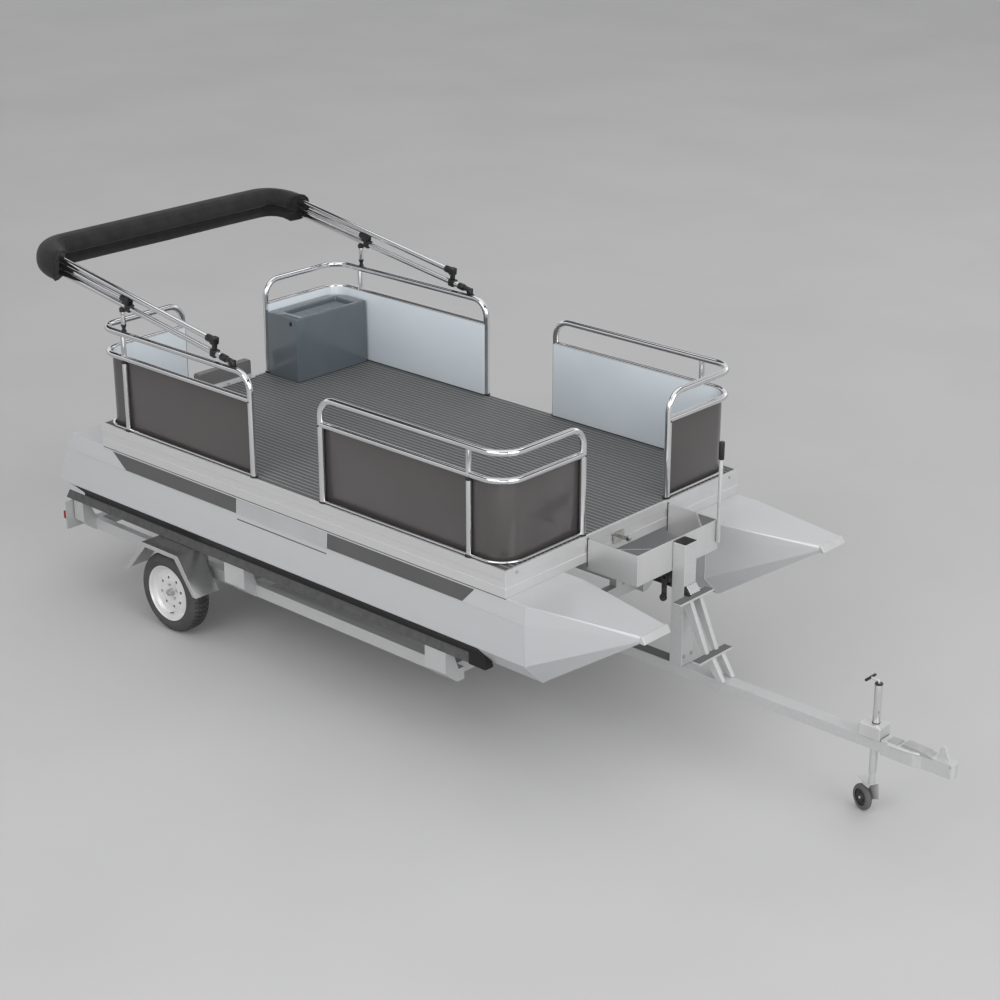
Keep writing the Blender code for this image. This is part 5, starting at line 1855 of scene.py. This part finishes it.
@dataclass
class TailLamps:
    """The two red lamps on the end plates, each in a black housing."""

    edge: float = 0.001
    depth: float = 0.006

    def build(self) -> None:
        """Builds both lamps."""
        for side in Side:
            node = f"tail_lamp_{side.label}"
            low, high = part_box(node)
            back = block(
                f"lamp_housing_{side.label}", (high.x - self.depth, low.y, low.z), high, 0.002
            )
            dress(back, NYLON)
            lens = block(f"lamp_lens_{side.label}", (low.x, low.y + self.edge, low.z + self.edge),
                         (high.x - 0.0055, high.y - self.edge, high.z - self.edge), 0.005, 4)
            dress(smoothed(lens, 40), RED_LENS, replaces=(node,))


@dataclass
class WinchStand:
    """The post, the winch with its strap, and the boarding steps."""

    x: float = 4.0185
    half_x: float = 0.045
    half_y: float = 0.055
    top: float = 0.03
    winch_z: float = -0.27
    drum_x: float = 3.9182
    half_w: float = 0.0375
    step_shift: float = -0.022
    step_half: float = 0.1565
    treads: dict[str, Pair] = field(
        default_factory=lambda: {"upper": (4.108, -0.34), "lower": (4.26, -0.662)})
    stringer: tuple[Pair, ...] = (
        (4.0645, -0.351), (4.108, -0.351), (4.249, -0.672), (4.288, -0.672), (4.37, -0.7985),
        (4.3175, -0.7985), (4.205, -0.65), (4.0645, -0.41),
    )
    bracket: tuple[Pair, ...] = (
        (4.0638, -0.286), (4.0698, -0.286), (4.103, -0.33), (4.103, -0.3384), (4.0638, -0.3384))

    def winch(self) -> None:
        """Builds the winch: cheeks, drum, strap, gear and crank."""
        x, z, w = self.drum_x, self.winch_z, self.half_w
        outline = side_on(
            (x + ahead, z + rise)
            for ahead, rise in (
                (-0.052, 0.01), (-0.03, 0.05), (0.054, 0.056), (0.0548, -0.055), (0.01, -0.055),
                (-0.04, -0.035),
            )
        )
        parts = [
            plate("cheek", outline, Axis.Y, hand * (w - 0.005), hand * w, 0.0012, 20)
            for hand in (-1, 1)
        ]
        gear_x, gear_z, knob_z = x + 0.012, z + 0.014, z - 0.126
        parts += [
            block("back", at(x + 0.049, -w, z - 0.055), at(x + 0.0548, w, z + 0.056), 0.001),
            rod(
                "gear", at(gear_x, -w - 0.003, gear_z), at(gear_x, -w - 0.011, gear_z), 0.046, 36,
                0.0015,
            ),
            rod("hub", at(x, -w + 0.003, z), at(x, -w - 0.02, z), 0.012, 20),
            block(
                "arm", at(x - 0.019, -w - 0.02, z - 0.135), at(x + 0.019, -w - 0.011, z + 0.02),
                0.004, 3,
            ),
            rod("knob", at(x, -w - 0.01, knob_z), at(x, -w - 0.0335, knob_z), 0.0225, 32, 0.006),
        ]
        dress(joined("winch_works", parts), BLACK_ENAMEL, replaces=("winch",))
        roll = [(0.008, 0.031), (0.035, 0.031), (0.0355, 0.0), (0.035, -0.031), (0.008, -0.031)]
        dress(lathed("winch_strap", roll, at(x, 0, z), 1, 40), WEBBING)

    def steps(self) -> None:
        """Builds the steps and lays grit tape on their treads."""
        port, starboard = self.step_shift + self.step_half, self.step_shift - self.step_half
        parts = [block("tread", at(x - 0.03, starboard, z - 0.012), at(x + 0.03, port, z), 0.0018)
                 for x, z in self.treads.values()]
        for hand in (-1, 1):
            low = hand * 0.045 - 0.015
            parts.append(
                plate("stringer", side_on(self.stringer), Axis.Y, low, low + 0.03, 0.002, 20)
            )
        dress(
            joined("step_frame", parts), GALVANISED, replaces=("boarding_steps",),
        )
        for name, (x, z) in self.treads.items():
            low, high = at(x - 0.0285, starboard + 0.003, z), at(
                x + 0.0255, port - 0.003, z + 0.0016
            )
            dress(block(f"tread_grit_{name}", low, high, 0.0006), GRIT)

    def build(self) -> None:
        """Builds the stand."""
        recut("winch_post_tube", "winch_post", GALVANISED, 0.004, 3)
        cap = block(
            "post_cap", at(self.x - self.half_x + 0.002, -self.half_y + 0.002, -self.top - 0.002),
            at(self.x + self.half_x - 0.002, self.half_y - 0.002, -self.top + 0.003), 0.0022,
        )
        dress(cap, NYLON)
        self.winch()
        self.steps()
        outline = side_on(self.bracket)
        dress(plate("step_bracket", outline, Axis.Y, -0.04, 0.05, 0.001, 20), BRIGHT)
        # A black plate beside the bracket, set a little lower: painted shade for the gap behind it.
        gap = [(x, z - 0.0015) for x, z in outline]
        dress(plate("step_bracket_gap_shade", gap, Axis.Y, -0.054, -0.041, 0.0006, 20), SEAL_AND_SHADE)
        heads = [
            (at(self.x + self.half_x, y, z), Vector((1, 0, 0)))
            for y in (-0.035, 0.035)
            for z in (-0.43, -0.74)
        ]
        bolts("post_bolts", heads, 0.009)


@dataclass
class JockeyWheel:
    """The small swivelling wheel under the drawbar, its leg and its crank."""

    x: float = 5.363
    radius: float = 0.0215
    top: float = -0.484
    foot: float = -1.092
    trail: float = 0.075
    swing: float = -math.radians(22)
    wheel_r: float = 0.076
    hub_r: float = 0.0495
    half_width: float = 0.019

    def upright(self, name: str, high: float, low: float, radius: float, sides: int = 32,
                edge: float = 0.001) -> Piece:
        """A round piece on the leg's own line.

        Args:
            name: The piece's name.
            high: The height of one end, from the deck.
            low: The height of the other end.
            radius: Its radius.
            sides: How many sides it has.
            edge: The width of its eased rims.

        Returns:
            The piece.
        """
        return rod(name, at(self.x, 0, high), at(self.x, 0, low), radius, sides, edge)

    def leg(self) -> None:
        """Builds the tube, its cap, the crank and the clamp's housing."""
        x, r, crank = self.x, self.radius, self.top + 0.02
        shaft = rounded(
            [at(x, 0, self.top - 0.002), at(x, 0, crank), at(x - 0.055, 0, crank)], [0.0105], 6
        )
        parts = [
            self.upright("sleeve", -0.7, -0.79, r - 0.001),
            self.upright("collar", -0.862, -1.03, r),
            self.upright("inner", -0.99, self.foot, r - 0.003),
            self.upright("middle", -0.78, -0.87, r - 0.0008),
            tube("shaft", shaft, 0.0065, 14),
        ]
        dress(
            joined("jockey_tube", parts), GALVANISED, replaces=("jockey_leg",),
        )
        dress(self.upright("jockey_upper_tube", self.top, -0.71, r, 40), TUBE)
        cap = self.upright("jockey_cap", self.top - 0.004, self.top + 0.004, r + 0.0012)
        dress(cap, NYLON)
        grip = rod(
            "jockey_grip", at(x - 0.055, -0.048, crank), at(x - 0.055, 0.048, crank), 0.008, 24,
            0.002,
        )
        dress(grip, NYLON)
        clamp = block(
            "jockey_clamp", at(x - 0.078, -0.055, -0.7997), at(x + 0.061, 0.055, -0.72), 0.007, 4
        )
        dress(clamp, PLATE)
        dress(self.upright("jockey_ring", -0.7205, -0.716, r + 0.0018), NYLON)

    def fork(self, turn: Matrix) -> None:
        """Builds the fork: a crown, one long cheek, a short lug and the axle.

        Args:
            turn: Swings it round the leg.
        """
        x, r, base = self.x, self.wheel_r, DECK_ORIGIN
        wheel_x, crown = x - self.trail, self.foot - 0.001
        cheek = [
            (base.x + ahead, z)
            for ahead, z in (
                (x + self.radius + 0.012, base.z + crown - 0.002),
                (wheel_x - 0.01, base.z + crown - 0.002), (wheel_x - 0.0215, r + 0.008),
                (wheel_x - 0.012, r - 0.0175), (wheel_x + 0.012, r - 0.0175),
                (x + self.radius + 0.02, r + 0.035),
            )
        ]
        lug = side_on(
            (ahead, crown - drop)
            for ahead, drop in (
                (x + self.radius, 0.002), (wheel_x + 0.02, 0.002), (wheel_x + 0.04, 0.024),
                (x + 0.012, 0.024),
            )
        )
        low, high = at(wheel_x - 0.012, -0.03, crown - 0.0035), at(
            x + self.radius, 0.03, crown + 0.0009
        )
        axle_x = base.x + wheel_x
        fork = joined(
            "jockey_fork_steel",
            [
                block("crown", low, high, 0.001),
                plate("cheek", cheek, Axis.Y, 0.024, 0.03, 0.0015, 20),
                plate("lug", lug, Axis.Y, -0.03, -0.024, 0.0015, 20),
                rod(
                    "axle", Vector((axle_x, -0.0215, r)), Vector((axle_x, 0.0335, r)), 0.0075, 24,
                    0.001,
                ),
            ],
        )
        fork.data.transform(turn)
        dress(fork, PLATE, "jockey_swivel", ("jockey_fork",))

    def roller(self, turn: Matrix) -> None:
        """Spins the wheel: solid rubber on a nylon hub.

        Args:
            turn: Swings it round the leg.
        """
        r, w = self.wheel_r, self.half_width
        centre = Vector((DECK_ORIGIN.x + self.x - self.trail, 0, r))
        profile = [
            (0.0086, w), (0.026, w), (0.028, w - 0.002), (0.031, w - 0.007), (0.048, w - 0.007),
            (0.05, w - 0.002), (0.053, w - 0.0005), (0.063, w - 0.001), (0.0705, w - 0.004),
            (0.0748, w - 0.009), (r, w - 0.014),
        ]
        profile += [(radius, -y) for radius, y in profile[::-1]]
        wheel = lathed("jockey_roller_rubber", profile, centre, 1, 64)
        wheel.data.transform(turn)
        axle = turn @ centre
        along = turn.to_3x3() @ Vector((0, 1, 0))
        dress(wheel, SOLID_RUBBER, "jockey_roller", ("jockey_wheel",))
        repaint(
            wheel, NYLON, lambda spot,
            normal: (spot - axle - along * (spot - axle).dot(along)).length < self.hub_r,
        )

    def build(self) -> None:
        """Builds the leg, then the fork and the wheel, swung round it."""
        self.leg()
        turn = turn_about(at(self.x, 0, 0), self.swing, "Z")
        self.fork(turn)
        self.roller(turn)


@dataclass
class Coupling:
    """The pressed coupling head at the drawbar's front, with its ribs, its hood and its latch."""

    rib: tuple[Triple, ...] = (
        (5.475, 0.049, -0.797), (5.6, 0.048, -0.795), (5.67, 0.037, -0.793))
    hood: tuple[Pair, ...] = (
        (5.54, -0.792), (5.565, -0.7645), (5.7, -0.772), (5.745, -0.787), (5.745, -0.796),
        (5.54, -0.796),
    )

    def build(self) -> None:
        """Builds the head from its solid and adds the ribs, the hood, its stop and the latch."""
        recut("coupling_head", "coupling", GALVANISED, 0.006, 3)
        # Ribs along the head's sides, in a brighter finish than the head: a real rib, and partly a
        # painted highlight on its side edges.
        ribs = [
            tube("rib", [at(x, hand * y, z) for x, y, z in self.rib], 0.0075, 16)
            for hand in (-1, 1)
        ]
        dress(joined("coupling_ribs_highlight", ribs), PLATE)
        hood = plate("coupling_hood", side_on(self.hood), Axis.Y, -0.037, 0.031, 0.007, 20)
        dress(hood, PRESSED)
        stop = block("coupling_stop", at(5.462, -0.036, -0.789), at(5.53, 0.03, -0.7795), 0.002)
        dress(stop, PRESSED)
        latch = [block("jaw", at(5.868, -0.014, -0.808), at(5.8748, 0.014, -0.797), 0.0015),
                 block("pin", at(5.845, -0.0335, -0.81), at(5.862, -0.03, -0.8), 0.0012)]
        dress(joined("coupling_latch", latch), PRESSED)


@dataclass
class Studio:
    """The floor, the light and the camera."""

    lens: float = 75.94
    place: Triple = (10.764, -8.932, 4.705)
    pitch: float = 21.91
    heading: float = 42.51
    aim: Triple = (0.0, 0.0, 0.8)
    lamps: tuple[tuple[str, Triple, float, float], ...] = (
        ("key", (2.0, -15.0, 11.0), 13.0, 900.0), ("fill", (18.5, -2.5, 9.8), 14.0, 1600.0),
        ("front", (13.0, -14.0, 6.4), 10.0, 520.0), ("back", (0.0, 14.5, 12.0), 14.0, 300.0))
    dome: tuple[Pair, ...] = (
        (0.06, 0.5), (0.42, 0.9), (0.47, 0.05), (0.74, 0.05), (0.79, 1.0)
    )

    def camera(self) -> None:
        """Stands the camera off the starboard bow, looking down on the deck."""
        data = bpy.data.cameras.new("camera")
        data.lens = self.lens
        data.sensor_width = 36.0
        data.clip_end = 200.0
        camera = bpy.data.objects.new("camera", data)
        bpy.context.scene.collection.objects.link(camera)
        camera.location = at(*self.place)
        camera.rotation_euler = (math.radians(90 - self.pitch), 0.0, math.radians(self.heading))
        bpy.context.scene.camera = camera

    def floor(self) -> None:
        """Lays a pale floor, wide enough to fill the view."""
        bpy.ops.object.select_all(action="DESELECT")
        bpy.ops.mesh.primitive_plane_add(size=160.0, location=(0, 0, 0))
        floor = settle("studio_floor")
        finish = Finish(
            "matt_studio_floor", "#BEBEBE", "#BABABA", 2.0, 0.9, 0.02, 0.0, 0.01, 0.00001
        )
        floor.data.materials.append(finish.material())

    def light(self) -> None:
        """Hangs four broad lamps under a dome with a dark band between two bright ones."""
        for name, place, size, power in self.lamps:
            data = bpy.data.lights.new(name, "AREA")
            data.shape = "DISK"
            data.size = size
            data.energy = power
            lamp = bpy.data.objects.new(name, data)
            bpy.context.scene.collection.objects.link(lamp)
            lamp.location = place
            lamp.rotation_euler = (Vector(self.aim) - Vector(place)).to_track_quat(
                "-Z", "Y"
            ).to_euler()
        world = bpy.data.worlds.new("dome")
        bpy.context.scene.world = world
        world.use_nodes = True
        tree = world.node_tree
        back = tree.nodes["Background"]
        where = add_node(tree, "ShaderNodeTexCoord").outputs["Generated"]
        height = add_node(tree, "ShaderNodeSeparateXYZ", {"Vector": where}).outputs["Z"]
        ramp = add_node(tree, "ShaderNodeValToRGB", {"Fac": height})
        stops = ramp.color_ramp.elements
        stops[0].position, stops[0].color = 0.0, (0.5, 0.5, 0.51, 1.0)
        stops[1].position, stops[1].color = 1.0, (0.95, 0.95, 0.95, 1.0)
        for position, value in self.dome:
            stop = stops.new(position)
            stop.color = (value, value, value * 1.02, 1.0)
        tree.links.new(ramp.outputs["Color"], back.inputs["Color"])
        back.inputs["Strength"].default_value = 1.15

    def build(self) -> None:
        """Sets up the studio."""
        bpy.context.scene.view_settings.view_transform = "Standard"
        self.camera()
        self.floor()
        self.light()


def main() -> None:
    """Builds the studio, the boat and the trailer in order."""
    logging.basicConfig(level=logging.INFO, format="%(message)s")
    Studio().build()
    Pontoons().build()
    Deck().build()
    for side in Side:
        for end in End:
            Fence(side, end).build()
    Console().build()
    MotorMount().build()
    BowBracket().build()
    ShadeFrame().build()
    Bunks().build()
    TrailerFrame().build()
    for side in Side:
        RoadWheel(side).build()
    Mudguards().build()
    TailLamps().build()
    WinchStand().build()
    JockeyWheel().build()
    Coupling().build()
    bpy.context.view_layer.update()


if __name__ == "__main__":
    main()
